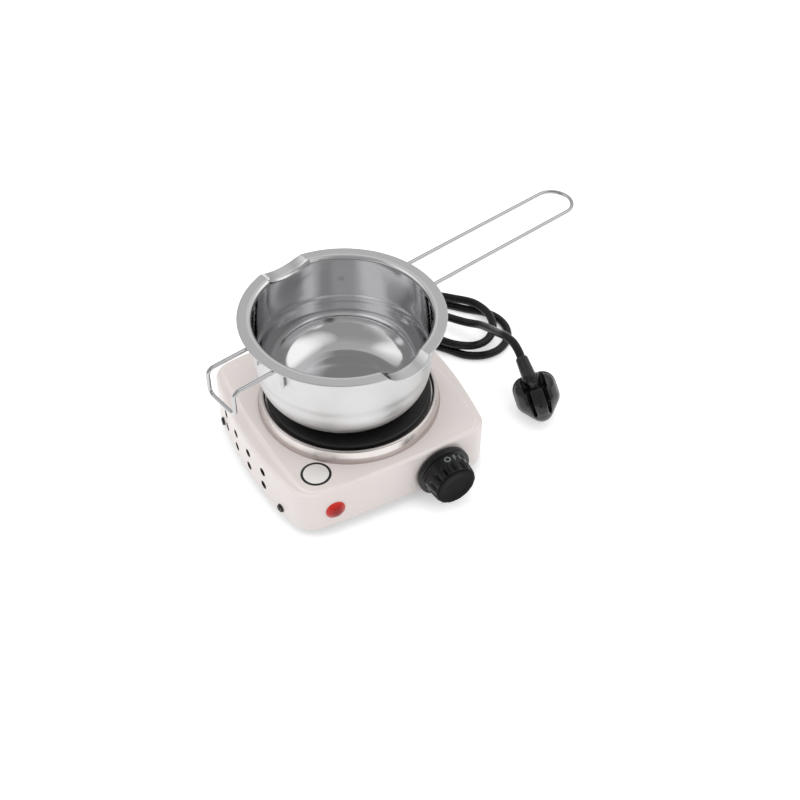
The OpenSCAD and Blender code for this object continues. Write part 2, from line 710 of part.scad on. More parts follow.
module pot_handle() {
    color(steel_bright) at_pot() {
        leg_and_run(loop_centre);
        translate([loop_centre, 0, wire_h]) rotate([0, 0, -90]) rotate_extrude(angle = 180)
            translate([wire_gap / 2, 0]) circle(r = wire_r);
    }
}

module pot_rest() {
    low = wire_h - rest_drop;
    side = wire_gap / 2 - wire_bend;
    color(steel_bright) at_pot() rotate([0, 0, 180]) {
        leg_and_run(rest_reach - wire_bend);
        for (s = [-1, 1]) translate([rest_reach - wire_bend, s * wire_gap / 2, wire_h - wire_bend])
            rotate([90, 0, 0]) bend(0);
        for (s = [-1, 1]) translate([rest_reach, s * wire_gap / 2, low + wire_bend])
            cylinder(r = wire_r, h = rest_drop - 2 * wire_bend);
        translate([rest_reach, side, low + wire_bend]) rotate([90, 0, 90]) bend(-90);
        translate([rest_reach, -side, low + wire_bend]) rotate([90, 0, 90]) bend(180);
        translate([rest_reach, -side, low]) rotate([-90, 0, 0]) cylinder(r = wire_r, h = 2 * side);
    }
}

housing();
base_plate();
rubber_feet();
foot_screws();
side_screws();
trim_ring();
hotplate();
heating_element();
heat_shield();
centre_stud();
clamp_nut();
thermal_cutout();
thermostat_body();
thermostat_screws();
thermostat_shaft();
knob();
lamp_lens();
lamp_body();
lamp_clip();
terminal_block();
terminal_screws();
earth_screw();
inner_wires();
cable_gland();
mains_lead();
plug_body();
plug_relief();
plug_pins();
pot_bowl();
pot_handle();
pot_rest();
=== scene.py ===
# %% [markdown]
# # Candle wax melter: a small electric hotplate with a double-boiler pot
# The object has three parts that move apart: the hotplate unit, its knob and the melting pot.
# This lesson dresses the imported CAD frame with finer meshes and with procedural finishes.
# It works in metres, in the frame of the CAD model, so a piece goes where the CAD says.

# %% Load the frame
import math
from collections import namedtuple
import bpy
import bmesh
import numpy as np
from mathutils import Matrix, Vector


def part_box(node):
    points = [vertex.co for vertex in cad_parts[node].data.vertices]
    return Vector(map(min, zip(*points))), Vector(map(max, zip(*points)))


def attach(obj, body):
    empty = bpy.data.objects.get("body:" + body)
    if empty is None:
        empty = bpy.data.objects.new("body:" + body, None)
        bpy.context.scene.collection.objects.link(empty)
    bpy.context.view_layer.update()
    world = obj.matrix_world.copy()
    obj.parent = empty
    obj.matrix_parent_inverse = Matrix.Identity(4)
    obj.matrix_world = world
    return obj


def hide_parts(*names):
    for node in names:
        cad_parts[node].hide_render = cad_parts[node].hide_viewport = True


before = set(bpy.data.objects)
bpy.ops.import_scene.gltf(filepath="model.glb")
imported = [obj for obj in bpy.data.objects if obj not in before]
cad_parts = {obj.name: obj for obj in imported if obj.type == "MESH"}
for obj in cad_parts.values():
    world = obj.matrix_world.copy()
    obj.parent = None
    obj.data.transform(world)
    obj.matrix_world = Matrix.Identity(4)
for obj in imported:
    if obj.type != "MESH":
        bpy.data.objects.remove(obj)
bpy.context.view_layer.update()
MM = 0.001


def middle_of(node):
    low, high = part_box(node)
    return (low + high) / 2


plate_axis = middle_of("hotplate")
PLATE_X, PLATE_Y = plate_axis.x / MM, plate_axis.y / MM
print("plate axis, mm:", round(PLATE_X, 3), round(PLATE_Y, 3))
print("nodes:", len(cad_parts))

# %% [markdown]
# ## Camera
# The photo's view was worked out from the round plate, the pot's rim and the housing's outline.
# The camera stands 30.2 degrees to the left of the front and looks down by 44.7 degrees, with a
# slight roll. Sizes here are measured from the plate's axis, as they are in most cells below.

# %% Camera
VIEW_TURN, VIEW_DOWN, VIEW_ROLL = math.radians(-30.2), math.radians(44.7), math.radians(0.9)
VIEW_TARGET = Vector((33.7 + PLATE_X, -4.1 + PLATE_Y, 23.0)) * MM
VIEW_DISTANCE = 785.4 * MM
# the lens as a focal length in pixels of the photo, the photo's width in pixels, the sensor in mm
FOCAL_PX, PHOTO_PX, SENSOR = 1250.0, 800.0, 36.0
# the nearest and the farthest that the camera sees, in metres
NEAR, FAR = 0.01, 20.0


def new_object(name, data):
    """A new object with its mesh, light or camera, linked to the scene."""
    holder = bpy.data.objects.new(name, data)
    bpy.context.scene.collection.objects.link(holder)
    return holder


back = Vector((
    math.sin(VIEW_TURN) * math.cos(VIEW_DOWN),
    -math.cos(VIEW_TURN) * math.cos(VIEW_DOWN),
    math.sin(VIEW_DOWN),
))
right = Vector((math.cos(VIEW_TURN), math.sin(VIEW_TURN), 0.0))
up = back.cross(right)
rolled_right = math.cos(VIEW_ROLL) * right + math.sin(VIEW_ROLL) * up
rolled_up = math.cos(VIEW_ROLL) * up - math.sin(VIEW_ROLL) * right

camera = new_object("camera", bpy.data.cameras.new("camera"))
camera.data.sensor_width = SENSOR
camera.data.lens = FOCAL_PX / PHOTO_PX * SENSOR
camera.data.clip_start, camera.data.clip_end = NEAR, FAR
place = Matrix((rolled_right, rolled_up, back)).transposed().to_4x4()
place.translation = VIEW_TARGET + back * VIEW_DISTANCE
camera.matrix_world = place
bpy.context.scene.camera = camera
print("lens, mm:", camera.data.lens)

# %% [markdown]
# ## Helpers for meshes
# Most pieces of a small appliance are turned, drawn or bent, so three helpers carry this lesson:
# a skin over a stack of rings, a lathe, which is such a skin round an axis, and a sweep along a path.
# Blender's Spin and Curve tools would do the same, but here every point stays in view as a number.

# %% Mesh helpers
def smooth(piece, sharp=35.0):
    """Smooth shading, but for edges that bend by more than sharp degrees."""
    mesh = piece.data
    mesh.polygons.foreach_set("use_smooth", [True] * len(mesh.polygons))
    mesh.set_sharp_from_angle(angle=math.radians(sharp))
    mesh.update()


def make_piece(name, points_mm, faces, sharp=35.0):
    """A mesh object from points in mm, in the frame of the CAD model."""
    mesh = bpy.data.meshes.new(name)
    mesh.from_pydata([tuple(float(c) * MM for c in p) for p in points_mm], [], faces)
    mesh.validate()
    piece = new_object(name, mesh)
    smooth(piece, sharp)
    return piece


def outward(piece, sharp=None):
    """Merges doubles and turns every face outwards, and then marks the sharp edges again if asked."""
    bm = bmesh.new()
    bm.from_mesh(piece.data)
    bmesh.ops.remove_doubles(bm, verts=bm.verts, dist=1e-6)
    bmesh.ops.recalc_face_normals(bm, faces=bm.faces)
    bm.to_mesh(piece.data)
    bm.free()
    piece.data.update()
    if sharp is not None:
        smooth(piece, sharp)
    return piece


def skin(rings, closed_across=True, closed_along=False):
    """Faces over rings of equal length.

    closed_across joins the ends of each ring, and closed_along joins the last ring to the first.
    """
    count, size = len(rings), len(rings[0])
    faces = []
    for i in range(count if closed_along else count - 1):
        for j in range(size if closed_across else size - 1):
            k, n = (j + 1) % size, (i + 1) % count
            faces.append((i * size + j, i * size + k, n * size + k, n * size + j))
    return faces


def all_points(rings):
    return [p for ring in rings for p in ring]


def at_plate(points):
    """Points that are measured from the plate's axis, in the frame of the CAD model."""
    return [(x + PLATE_X, y + PLATE_Y, z) for x, y, z in points]


def lathe(name, profile, segments, sharp=35.0):
    """A closed profile of (radius, height) turned round a vertical axis through the plate's middle."""
    angles = [2 * math.pi * k / segments for k in range(segments)]
    rings = [[(r * math.cos(a), r * math.sin(a), z) for r, z in profile] for a in angles]
    return outward(make_piece(name, at_plate(all_points(rings)), skin(rings, True, True), sharp), sharp)


square = [[(0, 0), (1, 0)], [(0, 1), (1, 1)]]
print("a skin over two rings of two points:", skin(square, closed_across=False))

# %% [markdown]
# Round stretches are arcs, and what bends freely is a smooth line through a few points. The sweep
# carries its rings along without twist, so a tube keeps its round section through every bend.

# %% Arcs, splines and sweeps
def arc(centre, radius, start, end, steps):
    """Points of an arc between two angles in degrees."""
    angles = [math.radians(start + (end - start) * k / steps) for k in range(steps + 1)]
    return [(centre[0] + radius * math.cos(a), centre[1] + radius * math.sin(a)) for a in angles]


def unit(v):
    v = np.array(v, float)
    return v / np.linalg.norm(v)


def between(a, b, ta, tb, t):
    """The point of a straight line at t, where it passes a at ta and b at tb."""
    return (tb - t) / (tb - ta) * a + (t - ta) / (tb - ta) * b


def spline(points, step):
    """A smooth line through points, with a point every step mm or so (centripetal Catmull-Rom)."""
    p = [np.array(q, float) for q in points]
    p = [2 * p[0] - p[1]] + p + [2 * p[-1] - p[-2]]
    out = []
    for a, b, c, d in zip(p, p[1:], p[2:], p[3:]):
        t0 = 0.0
        t1 = t0 + math.sqrt(np.linalg.norm(b - a))
        t2 = t1 + math.sqrt(np.linalg.norm(c - b))
        t3 = t2 + math.sqrt(np.linalg.norm(d - c))
        steps = max(1, round(np.linalg.norm(c - b) / step))
        for k in range(steps):
            t = t1 + (t2 - t1) * k / steps
            middle = between(b, c, t1, t2, t)
            early = between(between(a, b, t0, t1, t), middle, t0, t2, t)
            late = between(middle, between(c, d, t2, t3, t), t1, t3, t)
            out.append(between(early, late, t1, t2, t))
    return out + [p[-2]]


def sweep(name, path, radii, sides, sharp=50.0):
    """A round bar along a path in mm, with flat ends. The rings are carried along without twist."""
    path = [np.array(q, float) for q in path]
    if not hasattr(radii, "__len__"):
        radii = [radii] * len(path)
    angles = [2 * math.pi * k / sides for k in range(sides)]
    rings, side = [], None
    for i, q in enumerate(path):
        way = unit(path[min(i + 1, len(path) - 1)] - path[max(i - 1, 0)])
        if side is None:
            side = np.cross([0.0, 0.0, 1.0], way)
            if np.linalg.norm(side) < 0.1:
                side = np.cross([1.0, 0.0, 0.0], way)
        side = unit(side - way * np.dot(side, way))
        other = np.cross(way, side)
        rings.append([q + radii[i] * (math.cos(a) * side + math.sin(a) * other) for a in angles])
    faces = skin(rings)
    last = (len(rings) - 1) * sides
    faces.append(tuple(range(sides - 1, -1, -1)))
    faces.append(tuple(last + k for k in range(sides)))
    return outward(make_piece(name, all_points(rings), faces, sharp))


quarter = arc((0, 0), 1, 0, 90, 3)
print("a quarter circle in three steps:", [(round(x, 2), round(y, 2)) for x, y in quarter])

# %% [markdown]
# ## The mains lead
# A rubber-sheathed lead leaves the back through a moulded gland, drops to the table, runs twice
# round a loose loop and climbs into the angled plug. The route repeats the points of the part's
# source, and a smooth line through them is swept into a tube. The lead comes first, because its
# solid would have to move in the CAD if it spread too far out of view. Its gland stands square on
# the bowed back wall, so the plan of the walls comes with it.

# %% Route of the lead
# half the width, the reach to the front and back, how far each side bows, the corners' radius
Plan = namedtuple("Plan", "half front back side_bow front_bow back_bow corner")
WALL_PLAN = Plan(half=69.5, front=63.0, back=70.0, side_bow=9.0, front_bow=2.5, back_bow=5.5, corner=13.0)
LEAD_D = 5.5
GLAND_X, GLAND_Z, GLAND_LENGTH = 38.0, 17.0, 25.0
RELIEF_FOOT, RELIEF_TIP = np.array([112.0, -32.5, 29.3]), np.array([114.8, -18.0, 33.9])
LEAD_ROUTE = [
    (42.7, 103.7, 16.4), (45.9, 113.3, 13.1), (52.6, 121.2, 8.1), (62, 125.4, 4.5), (72.2, 125.9, 3),
    (82.7, 122.2, 2.9), (93.2, 113.5, 2.9), (104.4, 99.9, 2.8), (116.7, 85.1, 2.8), (128.8, 71.2, 2.8),
    (140.2, 59.4, 2.8), (144.2, 47.9, 2.8), (142.5, 37.1, 2.8), (135.9, 28.2, 2.8), (126, 23.3, 2.8),
    (115, 23.6, 2.8), (104.4, 29.5, 2.8), (95.2, 42.3, 2.8), (83.5, 57.2, 3), (69.1, 69.1, 2.9),
    (61.7, 83.2, 2.8), (62.4, 96, 3.2), (68.6, 105.6, 4.4), (78.4, 110.9, 6.2), (90, 110.7, 8.2),
    (102.4, 103.5, 9.1), (111.7, 90.2, 9.2), (122.4, 78.8, 9.6), (133.6, 66.8, 9.2), (137.2, 55.2, 7.8),
    (135.4, 45.2, 6.3), (129.8, 37.5, 5.5), (121.5, 32.7, 5.4), (111.2, 31.9, 6.6), (99.7, 36.7, 8.9),
    (88.2, 50, 10.5), (78, 60.9, 9.9), (65.1, 69.9, 10.3), (56.9, 82.4, 12), (56.3, 95.5, 13.6),
    (61.8, 106, 14.6), (71.2, 112.3, 15.2), (82.2, 113.6, 15.5), (93.3, 109.4, 15.4), (101.8, 99.3, 14.6),
    (105.1, 86.4, 13), (104.3, 76.2, 11.3), (105.8, 66.3, 11), (110.6, 56.9, 11.8), (116.2, 48.2, 12.7),
    (119.9, 38.5, 16.6), (119.6, 27.4, 22.3), (118.1, 15.8, 28.4), (116.7, 3.7, 34.9), (116.6, -5.6, 36.5),
]


def bow_radius(half, bow):
    """Radius of an arc that rises by bow over a half chord."""
    return (half * half + bow * bow) / (2 * bow)


back_r = bow_radius(WALL_PLAN.half - WALL_PLAN.side_bow, WALL_PLAN.back_bow)
gland_out = np.array([GLAND_X / back_r, math.sqrt(1 - (GLAND_X / back_r) ** 2), 0.0])
gland_seat = np.array([GLAND_X, WALL_PLAN.back - back_r + back_r * gland_out[1], GLAND_Z])
gland_end = gland_seat + gland_out * GLAND_LENGTH
relief_way = unit(RELIEF_TIP - RELIEF_FOOT)

lead_points = [gland_end, gland_end + gland_out * LEAD_D]
lead_points += LEAD_ROUTE
lead_points += [RELIEF_TIP + relief_way * LEAD_D, RELIEF_TIP]
lead_path = at_plate(spline(lead_points, step=2.0))
lead = sweep("lead", lead_path, LEAD_D / 2, sides=20)

# %% [markdown]
# ## Helpers for materials and node trees
# Every finish starts from a real material: its name and how its surface was made. Colours are
# written as sRGB hex values and turned to linear light by one function, and one small function
# adds a node with its settings and links, for shader trees and Geometry Nodes alike. The others
# are what surfaces have in common: tones and gloss that drift, and a grain that stands out.

# %% Node helpers
MIX_A, MIX_B, MIX_RESULT = 6, 7, 2  # the colour sockets of a Mix node, whose names are not unique


def srgb(code):
    """An sRGB hex colour as linear light."""
    parts = [int(code[i:i + 2], 16) / 255 for i in (1, 3, 5)]
    return tuple(c / 12.92 if c <= 0.04045 else ((c + 0.055) / 1.055) ** 2.4 for c in parts) + (1.0,)


def add(tree, kind, inputs=None, **settings):
    """Adds a node. An input is given by name or place, as a value or as the output that it is linked to."""
    node = tree.nodes.new(kind)
    for key, value in settings.items():
        setattr(node, key, value)
    for key, value in (inputs or {}).items():
        if isinstance(value, bpy.types.NodeSocket):
            tree.links.new(value, node.inputs[key])
        else:
            node.inputs[key].default_value = value
    return node


def finish_of(name, colour, roughness, metallic=0.0, **sockets):
    """A material with a Principled shader, its constants set on the shader's own sockets."""
    material = bpy.data.materials.new(name)
    material.use_nodes = True
    tree = material.node_tree
    shader = tree.nodes["Principled BSDF"]
    shader.inputs["Base Color"].default_value = srgb(colour)
    shader.inputs["Roughness"].default_value = roughness
    shader.inputs["Metallic"].default_value = metallic
    for key, value in sockets.items():
        shader.inputs[key.replace("_", " ")].default_value = value
    return material, tree, shader


def place_in_mm(tree, shift=(0, 0, 0)):
    """Object coordinates in mm."""
    coordinates = add(tree, "ShaderNodeTexCoord")
    scaled = add(tree, "ShaderNodeMapping", {
        "Vector": coordinates.outputs["Object"], "Scale": (1 / MM, 1 / MM, 1 / MM), "Location": shift,
    })
    return scaled.outputs["Vector"]


def vary_colour(tree, shader, vector, low, high, size_mm, detail=3.0):
    """Lets the base colour drift between two colours over patches of a size in mm."""
    noise = add(tree, "ShaderNodeTexNoise", {"Vector": vector, "Scale": 1 / size_mm, "Detail": detail})
    mix = add(
        tree, "ShaderNodeMix", {"Factor": noise.outputs["Fac"], MIX_A: srgb(low), MIX_B: srgb(high)},
        data_type="RGBA",
    )
    tree.links.new(mix.outputs[MIX_RESULT], shader.inputs["Base Color"])
    return noise


def vary_roughness(tree, shader, vector, low, high, size_mm, detail=4.0):
    """Lets the roughness drift over patches of a size in mm, as handling and wiping leave it."""
    noise = add(tree, "ShaderNodeTexNoise", {"Vector": vector, "Scale": 1 / size_mm, "Detail": detail})
    ranged = add(tree, "ShaderNodeMapRange", {
        "Value": noise.outputs["Fac"], "From Min": 0.3, "From Max": 0.7, "To Min": low, "To Max": high,
    })
    tree.links.new(ranged.outputs["Result"], shader.inputs["Roughness"])


def relief(tree, shader, height, depth_mm):
    """Lets heights between 0 and 1 stand out of the surface by a depth in mm."""
    bump = add(tree, "ShaderNodeBump", {"Height": height, "Distance": depth_mm * MM, "Strength": 1.0})
    tree.links.new(bump.outputs["Normal"], shader.inputs["Normal"])


def grained(tree, shader, vector, grain_mm, depth_mm, detail=2.0):
    """Gives the surface a grain of a size and a depth in mm."""
    noise = add(tree, "ShaderNodeTexNoise", {"Vector": vector, "Scale": 1 / grain_mm, "Detail": detail})
    relief(tree, shader, noise.outputs["Fac"], depth_mm)


print("mid grey #808080 in linear light:", round(srgb("#808080")[0], 3))

# %% [markdown]
# ## Finishes
# The housing is pressed steel with a baked cream paint. Under a soft light such a paint shows a
# satin sheen and, close up, a faint orange peel about a millimetre across. The inside of the shell is
# painted dark grey as painted shade, so the vents look black.

# %% Baked cream paint on pressed steel
cream_paint, tree, shader = finish_of("baked cream paint on pressed steel", "#E5DCD9", 0.34, Coat_Weight=0.25)
shader.inputs["Coat Roughness"].default_value = 0.2
here = place_in_mm(tree)
vary_colour(tree, shader, here, "#E3D9D6", "#E7DFDC", 30)
vary_roughness(tree, shader, here, 0.3, 0.4, 18)
grained(tree, shader, here, 1.2, 0.02)

# painted shade: the shell's inside is dark grey, so the vents look black
inside_painted_shade, tree, shader = finish_of("dark paint inside the shell as painted shade", "#2B2928", 0.7)
vary_colour(tree, shader, place_in_mm(tree), "#242221", "#343130", 12)
print("made:", cream_paint.name, "and", inside_painted_shade.name)

# %% [markdown]
# The trim ring is spun stainless steel: bright on its bead, satin on its skirt. The skirt's steel is
# tinted darker and warm, a painted reflection of the cream paint round it. The ring's turning leaves
# fine rings that are too small for the picture, so they are drawn about three times as coarse.

# %% Spun stainless steel
POT_X = -3.0
MARKS_R = 50.0
plate_centre = (PLATE_X, PLATE_Y)
pot_centre = (PLATE_X + POT_X, PLATE_Y)


def round_axis(tree, centre_mm):
    """Places in mm from a vertical axis, their x, y and z, and their distance from the axis."""
    here = place_in_mm(tree, shift=(-centre_mm[0], -centre_mm[1], 0))
    parts = add(tree, "ShaderNodeSeparateXYZ", {"Vector": here})
    flat = add(tree, "ShaderNodeCombineXYZ", {"X": parts.outputs["X"], "Y": parts.outputs["Y"]})
    distance = add(tree, "ShaderNodeVectorMath", {0: flat.outputs["Vector"]}, operation="LENGTH")
    return here, parts, distance.outputs["Value"]


def ring_marks(tree, centre_mm, across_mm, along_mm=18.0, detail=4.0):
    """Heights drawn out along circles round a vertical axis, as spinning and turning leave them.

    along_mm is their length where the circles have a radius of MARKS_R.
    """
    _, parts, radius = round_axis(tree, centre_mm)
    x, y, z = (parts.outputs[axis] for axis in "XYZ")
    angle = add(tree, "ShaderNodeMath", {0: y, 1: x}, operation="ARCTAN2").outputs["Value"]
    rows = add(tree, "ShaderNodeMath", {0: radius, 1: 1 / across_mm}, operation="MULTIPLY")
    turn = add(tree, "ShaderNodeMath", {0: angle, 1: MARKS_R / along_mm}, operation="MULTIPLY")
    level = add(tree, "ShaderNodeMath", {0: z, 1: 1 / across_mm}, operation="MULTIPLY")
    spun = add(tree, "ShaderNodeCombineXYZ", {
        "X": rows.outputs["Value"], "Y": turn.outputs["Value"], "Z": level.outputs["Value"],
    }).outputs["Vector"]
    noise = add(tree, "ShaderNodeTexNoise", {"Vector": spun, "Scale": 1.0, "Detail": detail})
    return noise.outputs["Fac"]


ring_steel, tree, shader = finish_of("spun stainless steel", "#D6D0CD", 0.22, 1.0)
relief(tree, shader, ring_marks(tree, plate_centre, 0.35), 0.004)
vary_roughness(tree, shader, place_in_mm(tree), 0.18, 0.27, 9)

# the skirt's darker warm colour is a painted reflection of the cream paint
satin_skirt_painted_reflection, tree, shader = finish_of("satin stainless skirt tinted as painted reflection", "#C6BCB8", 0.42, 1.0)
relief(tree, shader, ring_marks(tree, plate_centre, 0.8), 0.006)
vary_roughness(tree, shader, place_in_mm(tree), 0.38, 0.46, 9)
print("made:", ring_steel.name, "and", satin_skirt_painted_reflection.name)

# %% [markdown]
# The hotplate is cast iron with a black heat-proof coating: matt to satin, with the grain of the
# sand mould under it and the rings of the turning tool on its top.

# %% Coated cast iron
plate_iron, tree, shader = finish_of(
    "cast iron with heat-proof coating", "#141313", 0.42, Specular_IOR_Level=0.4
)
here = place_in_mm(tree)
vary_colour(tree, shader, here, "#111010", "#1A1918", 7)
sand = add(tree, "ShaderNodeTexNoise", {"Vector": here, "Scale": 1 / 0.5, "Detail": 5.0})
turned = ring_marks(tree, plate_centre, 0.7, 60)
both = add(tree, "ShaderNodeMath", {0: sand.outputs["Fac"], 1: turned}, operation="ADD")
relief(tree, shader, both.outputs["Value"], 0.012)
vary_roughness(tree, shader, here, 0.36, 0.48, 12)
print("made:", plate_iron.name)

# %% [markdown]
# The pot is deep-drawn stainless steel: polished inside, satin outside, and brushed on its
# flange. Polished sheet is never quite even, so its mirror images waver a little. Where the tool
# pressed the spouts it burnished the sheet, so their flanks catch the light more than the flange.
# The satin wall and the flange have turning marks, drawn coarser than they are, and keep only
# soft tones of what stands round them. The wires keep a fine grain from the die they were drawn
# through, under a polish that shows as long bright lines.

# %% Polished and brushed stainless steel
pot_polish, tree, shader = finish_of("polished stainless steel", "#D9D9DA", 0.08, 1.0)
here = place_in_mm(tree)
grained(tree, shader, here, 11.0, 0.008, 1.0)
vary_roughness(tree, shader, here, 0.06, 0.1, 14)

pot_satin, tree, shader = finish_of("satin stainless steel", "#CCCCCC", 0.4, 1.0)
relief(tree, shader, ring_marks(tree, pot_centre, 1.2, 60, 2.0), 0.004)
vary_roughness(tree, shader, place_in_mm(tree), 0.38, 0.46, 10)

pot_brushed, tree, shader = finish_of("brushed stainless steel", "#CBCBCC", 0.34, 1.0)
relief(tree, shader, ring_marks(tree, pot_centre, 0.8, 40, 3.0), 0.008)
vary_roughness(tree, shader, place_in_mm(tree), 0.3, 0.4, 6)

spout_pressed, tree, shader = finish_of("burnished stainless steel", "#D2D2D3", 0.2, 1.0)
here = place_in_mm(tree)
grained(tree, shader, here, 6.0, 0.006)
vary_roughness(tree, shader, here, 0.16, 0.25, 7)

wire_polish, tree, shader = finish_of("drawn stainless wire", "#BDBDBF", 0.16, 1.0)
here = place_in_mm(tree)
grained(tree, shader, here, 0.8, 0.005, 3.0)
vary_roughness(tree, shader, here, 0.12, 0.2, 5)
print("made:", pot_polish.name, pot_satin.name, pot_brushed.name, spout_pressed.name, wire_polish.name)

# %% [markdown]
# The knob is moulded black ABS, glossy on its skirt and grip and fine-grained on its face. The plug
# and the gland are moulded in soft PVC with the grain of a spark-eroded mould, and the lead's sheath
# is extruded, so it is smoother and shines along its bends. The rubber feet and the lamp's nylon
# body are dull, with a bloom that greys them in patches.

# %% Black mouldings
knob_abs, tree, shader = finish_of("moulded gloss ABS", "#0A0A0B", 0.18, Specular_IOR_Level=0.35)
here = place_in_mm(tree)
vary_roughness(tree, shader, here, 0.16, 0.26, 4)
grained(tree, shader, here, 2.5, 0.02)

knob_matt, tree, shader = finish_of("fine-grained ABS", "#0D0D0E", 0.4, Specular_IOR_Level=0.06)
here = place_in_mm(tree)
vary_roughness(tree, shader, here, 0.36, 0.46, 4)
grained(tree, shader, here, 0.4, 0.01)

plug_pvc, tree, shader = finish_of("moulded soft PVC", "#101011", 0.22, Specular_IOR_Level=0.5)
here = place_in_mm(tree)
vary_colour(tree, shader, here, "#0F0F10", "#171718", 6)
grained(tree, shader, here, 0.35, 0.008, 3.0)
vary_roughness(tree, shader, here, 0.18, 0.28, 5)

sheath_pvc, tree, shader = finish_of("extruded PVC sheath", "#0B0B0B", 0.32, Specular_IOR_Level=0.3)
here = place_in_mm(tree)
vary_roughness(tree, shader, here, 0.24, 0.4, 8)
grained(tree, shader, here, 1.6, 0.015, 3.0)

foot_rubber, tree, shader = finish_of("moulded rubber", "#1A1919", 0.62)
bloom = vary_colour(tree, shader, place_in_mm(tree), "#161515", "#252423", 4)
relief(tree, shader, bloom.outputs["Fac"], 0.03)

lamp_nylon, tree, shader = finish_of("moulded black nylon", "#151515", 0.5)
bloom = vary_colour(tree, shader, place_in_mm(tree), "#121212", "#1E1E1E", 3)
relief(tree, shader, bloom.outputs["Fac"], 0.02)
print("made:", knob_abs.name, knob_matt.name, plug_pvc.name, sheath_pvc.name)
print("made:", foot_rubber.name, lamp_nylon.name)

# %% [markdown]
# The pilot lamp's lens is clear red acrylic over a dark hollow. Its colour is painted darker in the
# middle, as painted shade, and brighter at its edge, as a painted glow. Inside the unit are plated
# steel, brass, unglazed ceramic and glass-fibre sleeving.

# %% Lamp lens and inner parts
LAMP_X, LAMP_Y, LAMP_Z = -42.0, -62.6, 20.0
LENS_REACH = 7.0


def set_ramp(ramp, stops):
    """Sets the colours of a ramp from (place, hex colour), in their order."""
    elements = ramp.color_ramp.elements
    for element, (place, colour) in ((elements[0], stops[0]), (elements[1], stops[-1])):
        element.position, element.color = place, srgb(colour)
    for place, colour in stops[1:-1]:
        elements.new(place).color = srgb(colour)


lens_acrylic, tree, shader = finish_of("red acrylic", "#A3201A", 0.16, Specular_IOR_Level=0.35)
here = place_in_mm(tree)
lens_middle = at_plate([(LAMP_X, LAMP_Y, LAMP_Z)])[0]
far = add(tree, "ShaderNodeVectorMath", {0: here, 1: lens_middle}, operation="DISTANCE")
share = add(tree, "ShaderNodeMath", {0: far.outputs["Value"], 1: 1 / LENS_REACH}, operation="MULTIPLY")
# painted shade in the middle and a painted glow at the edge of the lens
lens_painted_shade_and_glow = add(tree, "ShaderNodeValToRGB", {"Fac": share.outputs["Value"]})
set_ramp(lens_painted_shade_and_glow, [(0.4, "#84130F"), (0.85, "#D02A22")])
tree.links.new(lens_painted_shade_and_glow.outputs["Color"], shader.inputs["Base Color"])
grained(tree, shader, here, 1.8, 0.05, 1.0)


def plated(name, low, high, roughness, metallic=1.0, patch=3.0):
    """A finish for small parts: two tones in patches, with a roughness that drifts."""
    material, tree, shader = finish_of(name, low, roughness, metallic)
    here = place_in_mm(tree)
    patches = vary_colour(tree, shader, here, low, high, patch)
    vary_roughness(tree, shader, here, roughness * 0.8, roughness * 1.3, patch * 2)
    relief(tree, shader, patches.outputs["Fac"], 0.01)
    return material


zinc_plate = plated("zinc-plated sheet steel", "#A9ABAD", "#C2C2BE", 0.36, patch=9.0)
screw_zinc = plated("zinc-plated screw steel", "#9C9D9E", "#B8B8B6", 0.3)
# the base plate's dark steel is painted shade, so that the vents look black
base_steel_painted_shade = plated("sheet steel darkened as painted shade", "#2E2C2B", "#3C3A38", 0.6, 0.0, 9.0)
shield_steel = plated("aluminised steel dulled by heat", "#3E3B39", "#55514E", 0.5, patch=9.0)
screw_black = plated("blackened screw steel", "#3A3836", "#4C4947", 0.45)
element_steel = plated("heat-tinted sheath steel", "#5C5652", "#7A7068", 0.45)
terminal_brass = plated("turned brass", "#C29A4B", "#D2AE63", 0.3)
pin_nickel = plated("nickel-plated brass", "#C6C3BC", "#D6D3CD", 0.18)
ceramic = plated("unglazed steatite", "#DDD8CB", "#EAE6DB", 0.7, 0.0)
sleeving = plated("glass-fibre sleeving", "#8D8572", "#A9A08B", 0.8, 0.0, 0.6)
print("made:", lens_acrylic.name, "and ten finishes for small parts")

# %% [markdown]
# ## Rows of the same thing
# Vents, ribs and pins repeat one shape. A Geometry Nodes tree sets the shape on every point of a
# row, turned along the point's way and scaled by its size, because then one rule serves them all:
# a row is only a list of places. The lamp's lens and the round label are rows of one. The result is
# turned into plain mesh, one object for each row.

# %% Geometry Nodes: a shape on every point
def row_tree(name):
    """A tree that sets a shape on every point and gives it a finish."""
    tree = bpy.data.node_groups.new(name, "GeometryNodeTree")
    for label, kind in (
        ("Points", "NodeSocketGeometry"), ("Shape", "NodeSocketObject"), ("Finish", "NodeSocketMaterial"),
    ):
        tree.interface.new_socket(label, in_out="INPUT", socket_type=kind)
    tree.interface.new_socket("Pieces", in_out="OUTPUT", socket_type="NodeSocketGeometry")
    given = add(tree, "NodeGroupInput")
    shape = add(tree, "GeometryNodeObjectInfo", {"Object": given.outputs["Shape"]})
    turn = add(tree, "GeometryNodeInputNamedAttribute", {"Name": "turn"}, data_type="QUATERNION")
    size = add(tree, "GeometryNodeInputNamedAttribute", {"Name": "size"}, data_type="FLOAT_VECTOR")
    placed = add(tree, "GeometryNodeInstanceOnPoints", {
        "Points": given.outputs["Points"], "Instance": shape.outputs["Geometry"],
        "Rotation": turn.outputs["Attribute"], "Scale": size.outputs["Attribute"],
    })
    real = add(tree, "GeometryNodeRealizeInstances", {"Geometry": placed.outputs["Instances"]})
    dressed = add(tree, "GeometryNodeSetMaterial", {
        "Geometry": real.outputs["Geometry"], "Material": given.outputs["Finish"],
    })
    add(tree, "NodeGroupOutput", {"Pieces": dressed.outputs["Geometry"]})
    return tree


